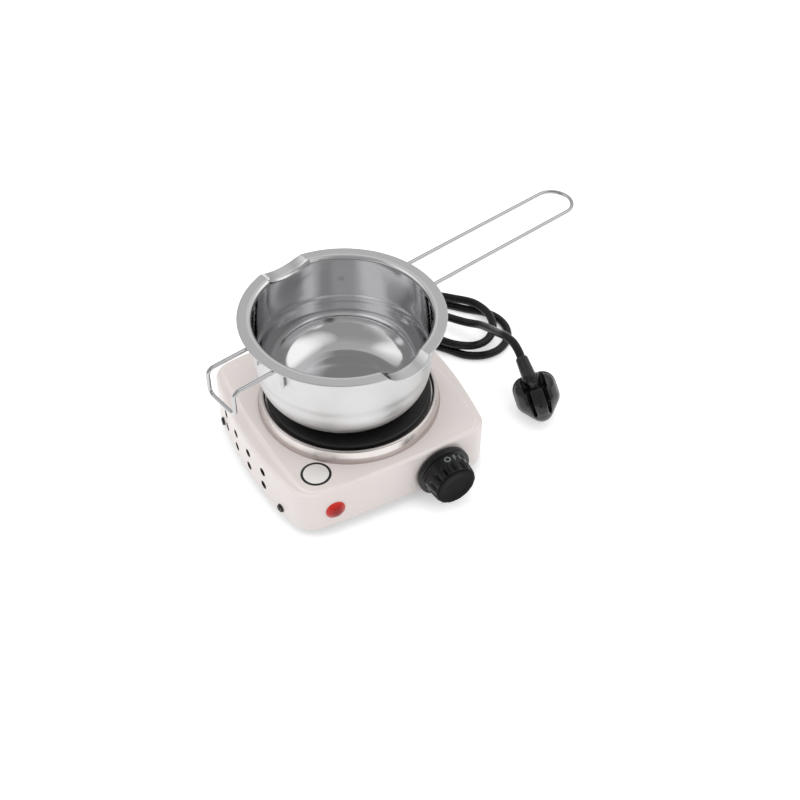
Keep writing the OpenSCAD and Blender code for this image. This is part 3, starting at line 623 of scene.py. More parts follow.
def evaluated_mesh(piece):
    """A plain mesh of what a piece's modifiers make."""
    bpy.context.view_layer.update()
    result = piece.evaluated_get(bpy.context.evaluated_depsgraph_get())
    return bpy.data.meshes.new_from_object(result)


def put_away(*pieces):
    for piece in pieces:
        bpy.data.objects.remove(piece)


shape_on_points = row_tree("shape on points")
row_socket = {item.name: item.identifier for item in shape_on_points.interface.items_tree}


def row_of(name, shape, points_mm, ways, sizes, finish, sharp=35.0):
    """One mesh object with a copy of shape on every point, its Z along the point's way."""
    mesh = bpy.data.meshes.new(name)
    mesh.from_pydata([tuple(float(c) * MM for c in p) for p in points_mm], [], [])
    mesh.attributes.new("turn", "QUATERNION", "POINT")
    mesh.attributes.new("size", "FLOAT_VECTOR", "POINT")
    for i, way in enumerate(ways):
        mesh.attributes["turn"].data[i].value = Vector(way).to_track_quat("Z", "Y")
        mesh.attributes["size"].data[i].vector = sizes[i] if hasattr(sizes[i], "__len__") else (sizes[i],) * 3
    points = new_object(name + "_points", mesh)
    modifier = points.modifiers.new("row", "NODES")
    modifier.node_group = shape_on_points
    modifier[row_socket["Shape"]] = shape
    modifier[row_socket["Finish"]] = finish
    piece = new_object(name, evaluated_mesh(points))
    put_away(points)
    smooth(piece, sharp)
    return piece


def turned_shape(name, profile, segments, sharp=35.0):
    """A closed profile of (radius, height) in mm, turned round its own Z at the origin."""
    piece = lathe(name, profile, segments, sharp)
    piece.data.transform(Matrix.Translation((-PLATE_X * MM, -PLATE_Y * MM, 0)))
    return piece


print("inputs of the tree:", list(row_socket))

# %% [markdown]
# Three more helpers finish a piece. One dresses it in its materials, one joins pieces of several
# finishes into one object, and one cuts holes with exact booleans, which leave clean edges.

# %% Dressing, joining and cutting
def dress(piece, *finishes):
    """Gives a piece its finishes, and returns it."""
    piece.data.materials.clear()
    for finish in finishes:
        piece.data.materials.append(finish)
    return piece


def join(name, *pieces):
    """One object from several, which keep their materials and their sharp edges."""
    bm = bmesh.new()
    finishes = []
    for piece in pieces:
        start = len(bm.faces)
        bm.from_mesh(piece.data)
        own = list(piece.data.materials)
        for finish in own:
            if finish not in finishes:
                finishes.append(finish)
        bm.faces.ensure_lookup_table()
        for face in bm.faces[start:]:
            face.material_index = finishes.index(own[face.material_index])
    mesh = bpy.data.meshes.new(name)
    bm.to_mesh(mesh)
    bm.free()
    joined = dress(new_object(name, mesh), *finishes)
    put_away(*pieces)
    return joined


def apply_modifiers(piece):
    """Makes what the modifiers show the piece's own mesh."""
    piece.data = evaluated_mesh(piece)
    piece.modifiers.clear()


def cut(piece, *cutters):
    """Takes the cutters away from a piece with exact booleans."""
    for cutter in cutters:
        modifier = piece.modifiers.new("cut", "BOOLEAN")
        modifier.operation, modifier.solver, modifier.object = "DIFFERENCE", "EXACT", cutter
    apply_modifiers(piece)
    put_away(*cutters)


print("finishes to dress pieces in:", len(bpy.data.materials))

# %% [markdown]
# ## Housing
# The housing is one pressed sheet. Each side is an arc that swells beyond the flat top and leaves a
# crescent shoulder between them. The shape is a skin over many sections of one rule, from the lower
# edge up the wall, round the shoulder, over the top and down the lip of the round opening. It could
# be a subdivided cage, but a rule keeps the bows, the corners and the shoulder at their sizes.

# %% Outline of the housing
TOP_PLAN = Plan(half=61.5, front=61.0, back=67.0, side_bow=3.5, front_bow=1.5, back_bow=2.5, corner=11.5)
EDGE_Z, TOP_Z, SHEET = 7.0, 38.0, 1.0
END_STEPS, CORNER_STEPS, SIDE_STEPS = 20, 14, 44


def meeting(c1, r1, c2, r2, side):
    """Where two circles meet, on the side asked for."""
    c1, c2 = np.array(c1), np.array(c2)
    d = np.linalg.norm(c2 - c1)
    u = (c2 - c1) / d
    a = (r1 * r1 - r2 * r2 + d * d) / (2 * d)
    return c1 + a * u + side * math.sqrt(r1 * r1 - a * a) * np.array([-u[1], u[0]])


def heading(a, b):
    return math.degrees(math.atan2(b[1] - a[1], b[0] - a[0]))


def outline(plan):
    """A bowed outline: five arcs from the front's middle to the back's, mirrored to the left."""
    half, front, back, side_bow, front_bow, back_bow, corner = plan
    side_r = bow_radius((front + back) / 2, side_bow)
    front_r = bow_radius(half - side_bow, front_bow)
    back_r = bow_radius(half - side_bow, back_bow)
    side_c = (half - side_r, (back - front) / 2)
    front_c, back_c = (0, front_r - front), (0, back - back_r)
    low = meeting(side_c, side_r - corner, front_c, front_r - corner, -1)
    high = meeting(side_c, side_r - corner, back_c, back_r - corner, 1)
    right_half = arc(front_c, front_r, -90, heading(front_c, low), END_STEPS)
    right_half += arc(low, corner, heading(front_c, low), heading(side_c, low), CORNER_STEPS)[1:]
    right_half += arc(side_c, side_r, heading(side_c, low), heading(side_c, high), SIDE_STEPS)[1:]
    right_half += arc(high, corner, heading(side_c, high), heading(back_c, high), CORNER_STEPS)[1:]
    right_half += arc(back_c, back_r, heading(back_c, high), 90, END_STEPS)[1:]
    return np.array(right_half + [(-x, y) for x, y in right_half[-2:0:-1]])


wall, top = outline(WALL_PLAN), outline(TOP_PLAN)
gap = np.linalg.norm(top - wall, axis=1)
print("points:", len(wall), "shoulder width, mm:", gap.min().round(2), gap.max().round(2))

# %% Pressed shell
FILLET, SHOULDER_DROP, STEP_WIDTH = 2.2, 2.0, 3.2
OPENING_R, LIP_DEPTH, LIP_R, RING_SEAT_R = 48.2, 2.5, 0.8, 56.5


def ease(t):
    """0 up to t = 0, 1 from t = 1, and a smooth rise between them."""
    t = min(max(t, 0.0), 1.0)
    return t * t * (3 - 2 * t)


def wall_section(width):
    """The wall as (distance inwards, height) where the shoulder is width wide.

    It runs up the wall, round the edge, over the shoulder and up the step to the top.
    """
    drop = SHOULDER_DROP * ease((width - 2.0) / 5.0)
    fillet = min(FILLET, width + 0.4)
    shoulder = TOP_Z - drop
    section = [(0.0, z) for z in (EDGE_Z, 9.0, 12.0, 20.0, 29.0)]
    section += [(x, z) for x, z in arc((fillet, shoulder - fillet), fillet, 180, 90, 9)]
    end = max(width + 1.4, fillet + 0.6)
    step = min(STEP_WIDTH, (end - fillet) * 0.7)
    section += [(fillet + (end - step - fillet) * k / 3, shoulder) for k in (1, 2)]
    section += [(end - step + step * k / 9, shoulder + drop * ease(k / 9)) for k in range(10)]
    return section


inward = (top - wall) / gap[:, None]
lip = [(OPENING_R + x, TOP_Z - LIP_R + z) for x, z in arc((LIP_R, 0), LIP_R, 90, 180, 4)]
columns = []
for w, n, width in zip(wall, inward, gap):
    column = [(*(w + n * x), z) for x, z in wall_section(width)]
    way = unit(column[-1][:2])
    column += [(*(way * r), z) for r, z in [(RING_SEAT_R, TOP_Z), *lip, (OPENING_R, TOP_Z - LIP_DEPTH)]]
    columns.append(column)
housing = outward(make_piece("housing_shell", at_plate(all_points(columns)), skin(columns, False, True)))
dress(housing, cream_paint, inside_painted_shade)
thicken = housing.modifiers.new("sheet", "SOLIDIFY")
thicken.thickness, thicken.offset, thicken.use_even_offset = SHEET * MM, -1.0, True
# the inner faces of the sheet take the dark inside paint, which is painted shade
thicken.material_offset = 1
apply_modifiers(housing)
print("shell corners:", len(housing.data.vertices))

# %% [markdown]
# The holes are cut with drills that the same row tree sets round the walls: two rows of vents in
# each side, two screw holes below them, the lamp's and the shaft's hole in the front and the
# gland's in the back.

# %% Holes in the housing
KNOB_X, KNOB_Z = 28.5, 20.0
VENT_Y, VENT_Z, VENT_R = (35.0, 16.8, -1.4, -19.6), (14.2, 25.4), 2.75
SIDE_SCREW_Y, SIDE_SCREW_Z = (-38.0, 44.0), 10.6
SCREW_HOLE_R, FRONT_HOLE_R, GLAND_HOLE_R, DRILL_HALF = 1.6, 4.5, 6.0, 6.0
side_r = bow_radius((WALL_PLAN.front + WALL_PLAN.back) / 2, WALL_PLAN.side_bow)
front_r = bow_radius(WALL_PLAN.half - WALL_PLAN.side_bow, WALL_PLAN.front_bow)


def on_side(side, y, z):
    """A place on a side wall and the way that the wall looks there. side is 1 right and -1 left."""
    lean = (y - (WALL_PLAN.back - WALL_PLAN.front) / 2) / side_r
    across = math.sqrt(1 - lean * lean)
    return (side * (WALL_PLAN.half - side_r + side_r * across), y, z), (side * across, lean, 0)


def on_front(x, z):
    """A place on the front wall and the way that the wall looks there."""
    lean = x / front_r
    across = math.sqrt(1 - lean * lean)
    return (x, -WALL_PLAN.front + front_r - front_r * across, z), (lean, -across, 0)


drilled = [(on_side(s, y, z), VENT_R) for s in (-1, 1) for z in VENT_Z for y in VENT_Y]
drilled += [(on_side(s, y, SIDE_SCREW_Z), SCREW_HOLE_R) for s in (-1, 1) for y in SIDE_SCREW_Y]
drilled += [(on_front(LAMP_X, LAMP_Z), FRONT_HOLE_R), (on_front(KNOB_X, KNOB_Z), FRONT_HOLE_R)]
drilled += [((gland_seat, gland_out), GLAND_HOLE_R)]
drill = turned_shape("drill", [(0, -DRILL_HALF), (1, -DRILL_HALF), (1, DRILL_HALF), (0, DRILL_HALF)], 32)
# the drills carry the dark inside paint, which is painted shade
drills = row_of(
    "drills", drill, at_plate([at for (at, way), r in drilled]), [way for (at, way), r in drilled],
    [(r, r, 1.0) for seat, r in drilled], inside_painted_shade,
)
cut(housing, drills)
put_away(drill)
smooth(housing, 30)
print("holes:", len(drilled), "housing faces:", len(housing.data.polygons))

# %% [markdown]
# ## Trim ring and hotplate
# Both are turned shapes. The ring's skirt leans in a little towards a rolled bead, and behind the
# bead it steps down to the ledge that the plate's edge covers. The plate has a rounded edge, four
# shallow turned grooves and a sunk middle. A lathe follows such profiles exactly.

# %% Trim ring and hotplate
PLATE_Z = 47.0
BEAD, BEAD_R, BEAD_INSIDE_R, LEDGE_R = (52.6, PLATE_Z - 2.2), 1.3, 0.6, 48.4
SKIRT_R, SKIRT_TOP = 53.8, TOP_Z + 4.0
GROOVES, GROOVE_HALF, GROOVE_DEPTH = (36.0, 31.0, 26.0, 21.0), 0.5, 0.25
MIDDLE_R, MIDDLE_DEPTH = 16.2, 0.5

ring_profile = [(54.7, TOP_Z), (55.55, TOP_Z), (55.75, TOP_Z + 0.15), (55.68, TOP_Z + 0.6)]
ring_profile += [(55.4, TOP_Z + 1.6), (54.9, TOP_Z + 3.6), (54.35, TOP_Z + 5.4)]
ring_profile += arc(BEAD, BEAD_R, 12, 176, 20)
ring_profile += [(51.25, PLATE_Z - 3.2)] + arc((50.7, PLATE_Z - 3.4), 0.6, 0, -90, 4)
ring_profile += [(LEDGE_R, PLATE_Z - 4.0), (LEDGE_R, PLATE_Z - 4.7), (51.9, PLATE_Z - 4.7)]
ring_profile += arc(BEAD, BEAD_INSIDE_R, 190, 12, 12)
trim_ring = dress(lathe("trim_ring_spun", ring_profile, 256, 40), ring_steel, satin_skirt_painted_reflection)
# the lower skirt takes the steel tinted as painted reflection
for face in trim_ring.data.polygons:
    from_axis = (face.center.to_2d() - plate_axis.to_2d()).length
    face.material_index = int(face.center.z < SKIRT_TOP * MM and from_axis > SKIRT_R * MM)

plate_profile = [(0, 36.1), (47.5, 36.1), (47.5, 42.9), (49.6, 43.0), (50, 43.3)]
plate_profile += arc((48.5, PLATE_Z - 1.5), 1.5, 0, 90, 10)
plate_profile += [(43.0, PLATE_Z)]
for r in GROOVES:
    plate_profile += [(r + GROOVE_HALF, PLATE_Z), (r, PLATE_Z - GROOVE_DEPTH), (r - GROOVE_HALF, PLATE_Z)]
plate_profile += [(MIDDLE_R, PLATE_Z), (15.9, PLATE_Z - 0.1), (15.1, PLATE_Z - 0.45)]
plate_profile += [(14.8, PLATE_Z - MIDDLE_DEPTH), (0, PLATE_Z - MIDDLE_DEPTH)]
plate_top = dress(lathe("hotplate_cast", plate_profile, 192, 30), plate_iron)
print("ring and plate:", len(trim_ring.data.vertices), len(plate_top.data.vertices))

# %% [markdown]
# ## Melting pot
# The pot is a thin shell, drawn and spun: a flat foot, a wide rounded corner, a wall with a small
# step halfway up, and a flat flange. Two pouring spouts are pressed through flange and wall. Each is
# a trough of constant radius, so the flange dips with crisp corners where the trough meets it. The
# section is turned like the ring's, but at each turn it is bent to the trough before it is skinned.

# %% Section of the pot
POT_FOOT, POT_H, POT_R, FLANGE_R = PLATE_Z + 0.05, 60.0, 52.0, 60.5
FOOT_R, BEND_R, POT_WALL, FLANGE_T = 27.0, 25.0, 0.8, 1.0
POT_TURN, STEP_OUT = 11.0, 0.7
SPOUT_HALF, SPOUT_DEPTH, SPOUT_R, SPOUT_FROM_Z, SPOUT_LIP = 15.0, 5.0, 25.0, 46.0, 1.0
WALL_HEIGHTS = (36, 41, 46, 48, 50, 52, 54, 55.6)

outside = [(2.0, 0.0), (10, 0), (20, 0), (25, 0)] + arc((FOOT_R, BEND_R), BEND_R, -90, 0, 26)
outside += [(POT_R + STEP_OUT * ease((z - 25.5) / 7.0), z) for z in (27.0, 28.0, 29.0, 30.0, 31.0, 32.5)]
outside += [(POT_R + STEP_OUT, z) for z in WALL_HEIGHTS]
outside += arc((POT_R + 1.9, POT_H - FLANGE_T - 1.2), 1.2, 180, 90, 7)
outside += [(POT_R + x, POT_H - FLANGE_T) for x in (3.4, 5.0, 6.6)]
edge = arc((FLANGE_R - FLANGE_T / 2, POT_H - FLANGE_T / 2), FLANGE_T / 2, -90, 90, 8)
brushed = [(POT_R + x, POT_H) for x in (6.6, 5.0, 3.6, 3.0)]
inside = arc((POT_R + 2.4, POT_H - 2.5), 2.5, 90, 180, 10)[1:]
inside += [(POT_R - 0.1, z) for z in (*WALL_HEIGHTS[::-1], 31.4)]
inside += [(POT_R - 0.2, 30.7), (POT_R - 0.7, 29.3), (POT_R - 0.8, 28.6), (POT_R - 0.8, 26.0)]
inside += arc((FOOT_R, BEND_R), BEND_R - POT_WALL, 0, -90, 26)
inside += [(25, POT_WALL), (20, POT_WALL), (10, POT_WALL), (2.0, POT_WALL)]
section = outside + edge + brushed + inside
FINISH_ENDS = (len(outside) - 1, len(outside) + len(edge) + len(brushed) - 1)
print("points in the section:", len(section))

# %% Shell with its spouts
def log_min(a, b, soft):
    """The lower of two heights, with a small rounding where they cross."""
    low = min(a, b)
    return low - soft * math.log(math.exp((low - a) / soft) + math.exp((low - b) / soft))


def rim_level(y):
    """Height of the flange at a distance y from the middle of a spout."""
    if abs(y) >= 0.98 * SPOUT_R:
        return POT_H
    return log_min(POT_H, POT_H - SPOUT_DEPTH + SPOUT_R - math.sqrt(SPOUT_R ** 2 - y * y), soft=0.12)


def pot_ring(turn):
    """One section of the pot at a turn in degrees from its handle. The spouts are at 90 and 270.

    off is the angle from the nearest spout, and y the distance from that spout's middle.
    """
    off = 90 - abs((turn + 90) % 180 - 90)
    a = math.radians(turn)
    ring = []
    for r, z in section:
        y = r * math.sin(math.radians(off)) if off < 60 else SPOUT_R
        if r > FLANGE_R - 1.5:
            r += SPOUT_LIP * ease((SPOUT_HALF + 1 - abs(y)) / 5.0)
        if z > SPOUT_FROM_Z:
            z = SPOUT_FROM_Z + (z - SPOUT_FROM_Z) * (rim_level(y) - SPOUT_FROM_Z) / (POT_H - SPOUT_FROM_Z)
        ring.append((r * math.cos(a), r * math.sin(a), z))
    return ring


# Sections stand every 0.4 degrees at the spouts and every 2 degrees elsewhere.
turns = sorted({round(t, 3) for s in (90, 270) for t in (s + k * 0.4 for k in range(-60, 61))}
               | {float(t) for t in range(0, 360, 2) if abs((t + 90) % 180 - 90) < 65})
rings = [pot_ring(t) for t in turns]
pot_place = Matrix.Translation((POT_X, 0, POT_FOOT)) @ Matrix.Rotation(math.radians(POT_TURN), 4, "Z")


def at_pot(points):
    """Points that are measured from the pot's foot, in the frame of the CAD model."""
    return at_plate([tuple(pot_place @ Vector([float(c) for c in p])) for p in points])


size = len(section)
pot_faces = skin(rings, False, True)
pot_faces.append(tuple(k * size for k in range(len(rings))))
pot_faces.append(tuple(k * size + size - 1 for k in range(len(rings)))[::-1])
pot = make_piece("pot_spun", at_pot(all_points(rings)), pot_faces, 24)
SATIN, BRUSHED, POLISHED, PRESSED = range(4)
dress(pot, pot_satin, pot_brushed, pot_polish, spout_pressed)
for i, face in enumerate(list(pot.data.polygons)[:len(rings) * (size - 1)]):
    ring, along = divmod(i, size - 1)
    at_spout = abs(FLANGE_R * math.cos(math.radians(turns[ring]))) < SPOUT_HALF + 1
    flange = PRESSED if at_spout else BRUSHED
    face.material_index = SATIN if along < FINISH_ENDS[0] else flange if along < FINISH_ENDS[1] else POLISHED
outward(pot, 24)
print("pot faces:", len(pot.data.polygons))

# %% [markdown]
# ## Wire handle and rest
# Both are one bent rod each. The path is a list of corners, each rounded with the radius of its
# bend, and a sweep draws the rod along it. A curve object with a round bevel would look the same,
# but its bends would be handles to be set by eye.

# %% Wires
WIRE_D, WIRE_GAP, LEG_X, LEG_L, WIRE_BEND = 2.4, 24.4, 52.81, 15.0, 4.0
HANDLE_REACH, REST_REACH, REST_DROP = 184.0, 85.0, 17.0
WIRE_Z = POT_H - FLANGE_T - WIRE_D / 2 - 0.05
half_gap = WIRE_GAP / 2
end_bend = half_gap - 0.01  # just under half the gap, so that two bends make a round end


def rounded(corners, radii, steps):
    """A path through corners, each but the first and last rounded by an arc of its radius."""
    corners = [np.array(p, float) for p in corners]
    path = [corners[0]]
    for before, corner, after, radius in zip(corners, corners[1:], corners[2:], radii):
        u, v = unit(before - corner), unit(after - corner)
        half = math.acos(np.clip(np.dot(u, v), -1, 1)) / 2
        centre = corner + unit(u + v) * radius / math.sin(half)
        start, end = corner + u * radius / math.tan(half), corner + v * radius / math.tan(half)
        a, b = start - centre, end - centre
        bend = math.pi - 2 * half
        for k in range(steps + 1):
            t = k / steps
            spoke = (math.sin((1 - t) * bend) * a + math.sin(t * bend) * b) / math.sin(bend)
            path.append(centre + spoke)
    return path + [corners[-1]]


handle_path = rounded([
    (LEG_X, -half_gap, WIRE_Z - LEG_L), (LEG_X, -half_gap, WIRE_Z), (HANDLE_REACH, -half_gap, WIRE_Z),
    (HANDLE_REACH, half_gap, WIRE_Z), (LEG_X, half_gap, WIRE_Z), (LEG_X, half_gap, WIRE_Z - LEG_L),
], [WIRE_BEND, end_bend, end_bend, WIRE_BEND], 14)
rest_path = rounded([
    (-LEG_X, -half_gap, WIRE_Z - LEG_L), (-LEG_X, -half_gap, WIRE_Z), (-REST_REACH, -half_gap, WIRE_Z),
    (-REST_REACH, -half_gap, WIRE_Z - REST_DROP), (-REST_REACH, half_gap, WIRE_Z - REST_DROP),
    (-REST_REACH, half_gap, WIRE_Z), (-LEG_X, half_gap, WIRE_Z), (-LEG_X, half_gap, WIRE_Z - LEG_L),
], [WIRE_BEND] * 6, 10)
handle = dress(sweep("handle_wire", at_pot(handle_path), WIRE_D / 2, 20), wire_polish)
rest = dress(sweep("rest_wire", at_pot(rest_path), WIRE_D / 2, 20), wire_polish)
print("wire points:", len(handle_path), len(rest_path))

# %% [markdown]
# ## Control knob
# The knob is a skirt with a rounded rim and a grip that narrows to the front. Its first third is
# smooth and carries the printed dial. Beyond it the grip is fluted, and the flutes run out before
# the face, so the face stays round. One rule moves each point of the turned shape towards the axis
# by the flute's depth there, so flutes and grip are one skin, as in the mould.

# %% Knob
GRIP_R, GRIP_TAPER, GRIP_FROM, GRIP_LENGTH = 14.5, 0.9, 4.9, 12.1
FLUTES, FLUTE_DEPTH, FLUTE_FROM, FLUTE_TO, FLUTE_STEPS = 14, 1.6, 8.8, 17.2, 16
KNOB_BACK_Y, FACE_DEPTH = -64.0, 16.4


def grip_radius(depth):
    return GRIP_R - GRIP_TAPER * (depth - GRIP_FROM) / GRIP_LENGTH


knob_profile = [(0.0, 0.3), (4.6, 0.3), (14.0, 0.05), (16.4, 0.0)] + arc((16.45, 0.8), 0.8, -90, 0, 5)
knob_profile += arc((16.25, 3.0), 1.0, 0, 90, 6)
knob_profile += [(15.4, 4.02), (14.95, 4.1), (14.6, 4.35), (GRIP_R, GRIP_FROM)]
knob_profile += [(grip_radius(t), t) for t in (6.0, 7.4, 8.6, 9.2, 9.8, 10.4, 11.2, 12.4, 13.6, 14.6, 15.2)]
knob_profile += arc((11.9, 15.3), 1.7, 5, 90, 9)
knob_profile += [(9.5, 16.95), (8.3, 16.7), (6.0, 16.55), (3.0, 16.5), (0.0, 16.5)]


def on_knob(r, depth, turn):
    """A place at a radius and a depth, turned round the knob's axis from the top."""
    return KNOB_X + r * math.sin(turn), KNOB_BACK_Y - depth, KNOB_Z + r * math.cos(turn)


def fluted(r, depth, turn):
    """The radius of the knob where a flute may have taken some of it."""
    share = ease((depth - FLUTE_FROM) / 1.6) * ease((FLUTE_TO - depth) / 2.4) * ease((r - 9.0) / 3.0)
    wave = 0.5 + 0.5 * math.cos(turn * FLUTES)
    return r - FLUTE_DEPTH * share * wave ** 4


knob_turns = [2 * math.pi * k / (FLUTES * FLUTE_STEPS) for k in range(FLUTES * FLUTE_STEPS)]
PIN_HOLE_R = 0.01  # keeps the rings apart on the axis
knob_rings = [[on_knob(fluted(max(r, PIN_HOLE_R), t, a), t, a) for r, t in knob_profile] for a in knob_turns]
knob = make_piece("knob_grip", at_plate(all_points(knob_rings)), skin(knob_rings, False, True), 32)
dress(outward(knob, 32), knob_abs, knob_matt)
for face in knob.data.polygons:
    face.material_index = int(face.center.y < (PLATE_Y + KNOB_BACK_Y - FACE_DEPTH) * MM)
print("knob faces:", len(knob.data.polygons))

# %% [markdown]
# The dial is pad printed: OFF near the top, then the figures 1 to 5 round the rest. Flat letters are made
# mesh, cut into narrow strips and bent round the grip, so that they lie on its curve and stand a
# hair above it, as the ink does. An image on the knob could show them too, but this scene has none.

# %% Dial
CAP_HEIGHT = 0.73
STRIP, STRIPS_EACH_WAY = 0.12, 12
INK_STANDS = 0.05
OFF_TURN, FIRST_TURN, NEXT_TURN = 14, 66, 50


def bent_letters(name, words, height_mm, depth_mm, finish):
    """Words as (text, turn in degrees from the top), bent round the knob's smooth band."""
    parts = []
    for text, turn in words:
        curve = bpy.data.curves.new(name, "FONT")
        curve.body, curve.align_x, curve.align_y = text, "CENTER", "CENTER"
        curve.size, curve.space_character, curve.offset = 1.0, 1.7, 0.02
        holder = new_object(name, curve)
        bm = bmesh.new()
        bm.from_mesh(evaluated_mesh(holder))
        put_away(holder)
        size = height_mm / CAP_HEIGHT
        for k in range(-STRIPS_EACH_WAY, STRIPS_EACH_WAY + 1):
            everything = bm.verts[:] + bm.edges[:] + bm.faces[:]
            bmesh.ops.bisect_plane(bm, geom=everything, plane_co=(k * STRIP, 0, 0), plane_no=(1, 0, 0))
        for v in bm.verts:
            depth = depth_mm - v.co.y * size
            r = grip_radius(depth) + INK_STANDS
            at = on_knob(r, depth, math.radians(turn) + v.co.x * size / r)
            v.co = [c * MM for c in at_plate([at])[0]]
        mesh = bpy.data.meshes.new(name)
        bm.to_mesh(mesh)
        bm.free()
        parts.append(dress(new_object(name, mesh), finish))
    return join(name, *parts)


dial_ink, tree, shader = finish_of("pad-printed pale ink", "#9AA19F", 0.5)
vary_colour(tree, shader, place_in_mm(tree), "#5C6462", "#8D9391", 0.8)
dial_words = [("OFF", OFF_TURN)] + [(str(k + 1), FIRST_TURN + NEXT_TURN * k) for k in range(5)]
dial = bent_letters("knob_dial", dial_words, height_mm=3.7, depth_mm=6.9, finish=dial_ink)
print("dial faces:", len(dial.data.polygons))

# %% [markdown]
# ## Lamp, gland and strain relief
# The lamp is a domed lens with a stepped rim. The gland is a soft moulding with ribs that let it
# bend: a row of one shape on a tapering core. The strain relief at the plug is short and smooth, so
# a bar whose radius changes along its length is enough for it.

# %% Lamp lens
lamp_at, lamp_way = on_front(LAMP_X, LAMP_Z)
lens_profile = [(0, -3.9), (4.2, -3.9), (4.2, 0), (5.9, 0), (6.0, 0.15), (6.0, 0.7), (5.85, 0.95), (5.3, 1.2)]
lens_profile += [(r, z - 3.2) for r, z in arc((0, 0), 6.9, 41, 90, 12)]
lens = turned_shape("lens", lens_profile, 64)
# the lens's finish holds its painted shade and painted glow
lamp = row_of("lamp_dome", lens, at_plate([lamp_at]), [lamp_way], [1.0], lens_acrylic)
put_away(lens)
print("lamp faces:", len(lamp.data.polygons))

# %% Gland and strain relief
GLAND_STATIONS = [
    (-8.9, 4.9), (-6.2, 7.0), (-1.4, 7.0), (-1.2, 5.85), (0.14, 5.85), (0.16, 7.6), (0.4, 7.95),
    (2.6, 7.95), (3.0, 7.6), (4.6, 5.7), (5.4, 5.0), (7.6, 4.7), (14.0, 4.3), (22.0, 3.9),
    (24.6, 3.75), (24.95, 3.5), (GLAND_LENGTH, 2.9),
]
GLAND_RIBS, RIB_FROM, RIB_SPACE, RIB_R, RIB_TAPER, RIB_T = 6, 8.6, 2.7, 5.5, 0.12, 1.5
relief_length = math.dist(RELIEF_FOOT, RELIEF_TIP)
RELIEF_STATIONS = [
    (-2.9, 4.6), (-0.6, 4.9), (0.0, 5.05), (1.2, 5.05), (1.8, 4.7), (6.0, 4.45), (relief_length - 2.2, 4.1),
    (relief_length - 0.7, 4.0), (relief_length - 0.2, 3.75), (relief_length, 3.2),
]


def straight_bar(name, places, stations, sides):
    """A round bar in soft PVC through places, one for each of its (distance, radius) stations."""
    return dress(sweep(name, places, [r for _, r in stations], sides), plug_pvc)


gland_places = at_plate([gland_seat + gland_out * s for s, _ in GLAND_STATIONS])
gland_core = straight_bar("gland_core", gland_places, GLAND_STATIONS, 40)
rib = turned_shape("rib", [(0.5, -0.5), (0.92, -0.5), (1.0, -0.34), (1.0, 0.34), (0.92, 0.5), (0.5, 0.5)], 40)
gland_ribs = row_of(
    "gland_ribs", rib,
    at_plate([gland_seat + gland_out * (RIB_FROM + RIB_SPACE * k) for k in range(GLAND_RIBS)]),
    [gland_out] * GLAND_RIBS,
    [(RIB_R - RIB_TAPER * k, RIB_R - RIB_TAPER * k, RIB_T) for k in range(GLAND_RIBS)], plug_pvc,
)
put_away(rib)
gland = join("gland_moulded", gland_core, gland_ribs)
relief_places = at_plate([RELIEF_FOOT + relief_way * s for s, _ in RELIEF_STATIONS])
relief_bar = straight_bar("relief_moulded", relief_places, RELIEF_STATIONS, 36)
print("gland and relief:", len(gland.data.polygons), len(relief_bar.data.polygons))

# %% [markdown]
# ## Plug
# The plug leans forward on its pins and on the rim of its face, so the picture looks straight at its
# back. Its outline is an egg. Two petals for the fingers stand either side of a raised column, with
# a groove on each side of it, and the lead's neck comes out between the petals' ends. One rule gives
# the height of the back over each point of the face, so its forms run into each other as in a mould.

# %% Plug outline
PLUG_AT, PLUG_TURN, PLUG_TILT, PLUG_ROLL = (116.8, -35.6, 14.45), 59.8, 57.0, 20.0
PLUG_CIRCLES = [(6.5, 5.6, 8.5), (6.5, -5.6, 8.5), (-1.0, 5.2, 9.0), (-1.0, -5.2, 9.0), (-9.3, 0.0, 7.4)]
PLUG_HEART, ARMS = -0.8, 260
plug_place = (
    Matrix.Translation(PLUG_AT) @ Matrix.Rotation(math.radians(PLUG_TURN), 4, "Z")
    @ Matrix.Rotation(math.radians(-PLUG_TILT), 4, "Y") @ Matrix.Rotation(math.radians(PLUG_ROLL), 4, "Z")
)


def at_plug(points):
    """Points that are measured from the middle of the plug's face, in the frame of the CAD model."""
    return at_plate([tuple(plug_place @ Vector([float(c) for c in p])) for p in points])


looks = np.radians(np.arange(0, 360, 0.5))
reach = np.max([(x - PLUG_HEART) * np.cos(looks) + y * np.sin(looks) + r for x, y, r in PLUG_CIRCLES], axis=0)


def plug_radius(turn):
    """Distance from the plug's heart to its outline, the hull of five circles."""
    facing = np.cos(looks - turn)
    return float(np.min(reach[facing > 0.05] / facing[facing > 0.05]))


arms = [2 * math.pi * k / ARMS for k in range(ARMS)]
radii = [plug_radius(a) for a in arms]


def round_plug(share):
    """Places round the plug's heart, at a share of the way to its outline."""
    return [(PLUG_HEART + share * r * math.cos(a), share * r * math.sin(a)) for r, a in zip(radii, arms)]


print("plug, mm:", round(max(radii), 1), "from its heart")

# %% Plug body
BACK_SHARE, BACK_STEPS, EDGE_HEIGHT = 0.965, 64, 4.9
FACE_AND_RIM = [
    (0.0, 0.0), (0.86, 0.0), (0.93, 0.1), (0.975, 0.45), (0.995, 1.0),
    (1.0, 1.7), (1.0, 4.0), (0.985, 4.6), (0.965, EDGE_HEIGHT), (0.96, 5.1),
]


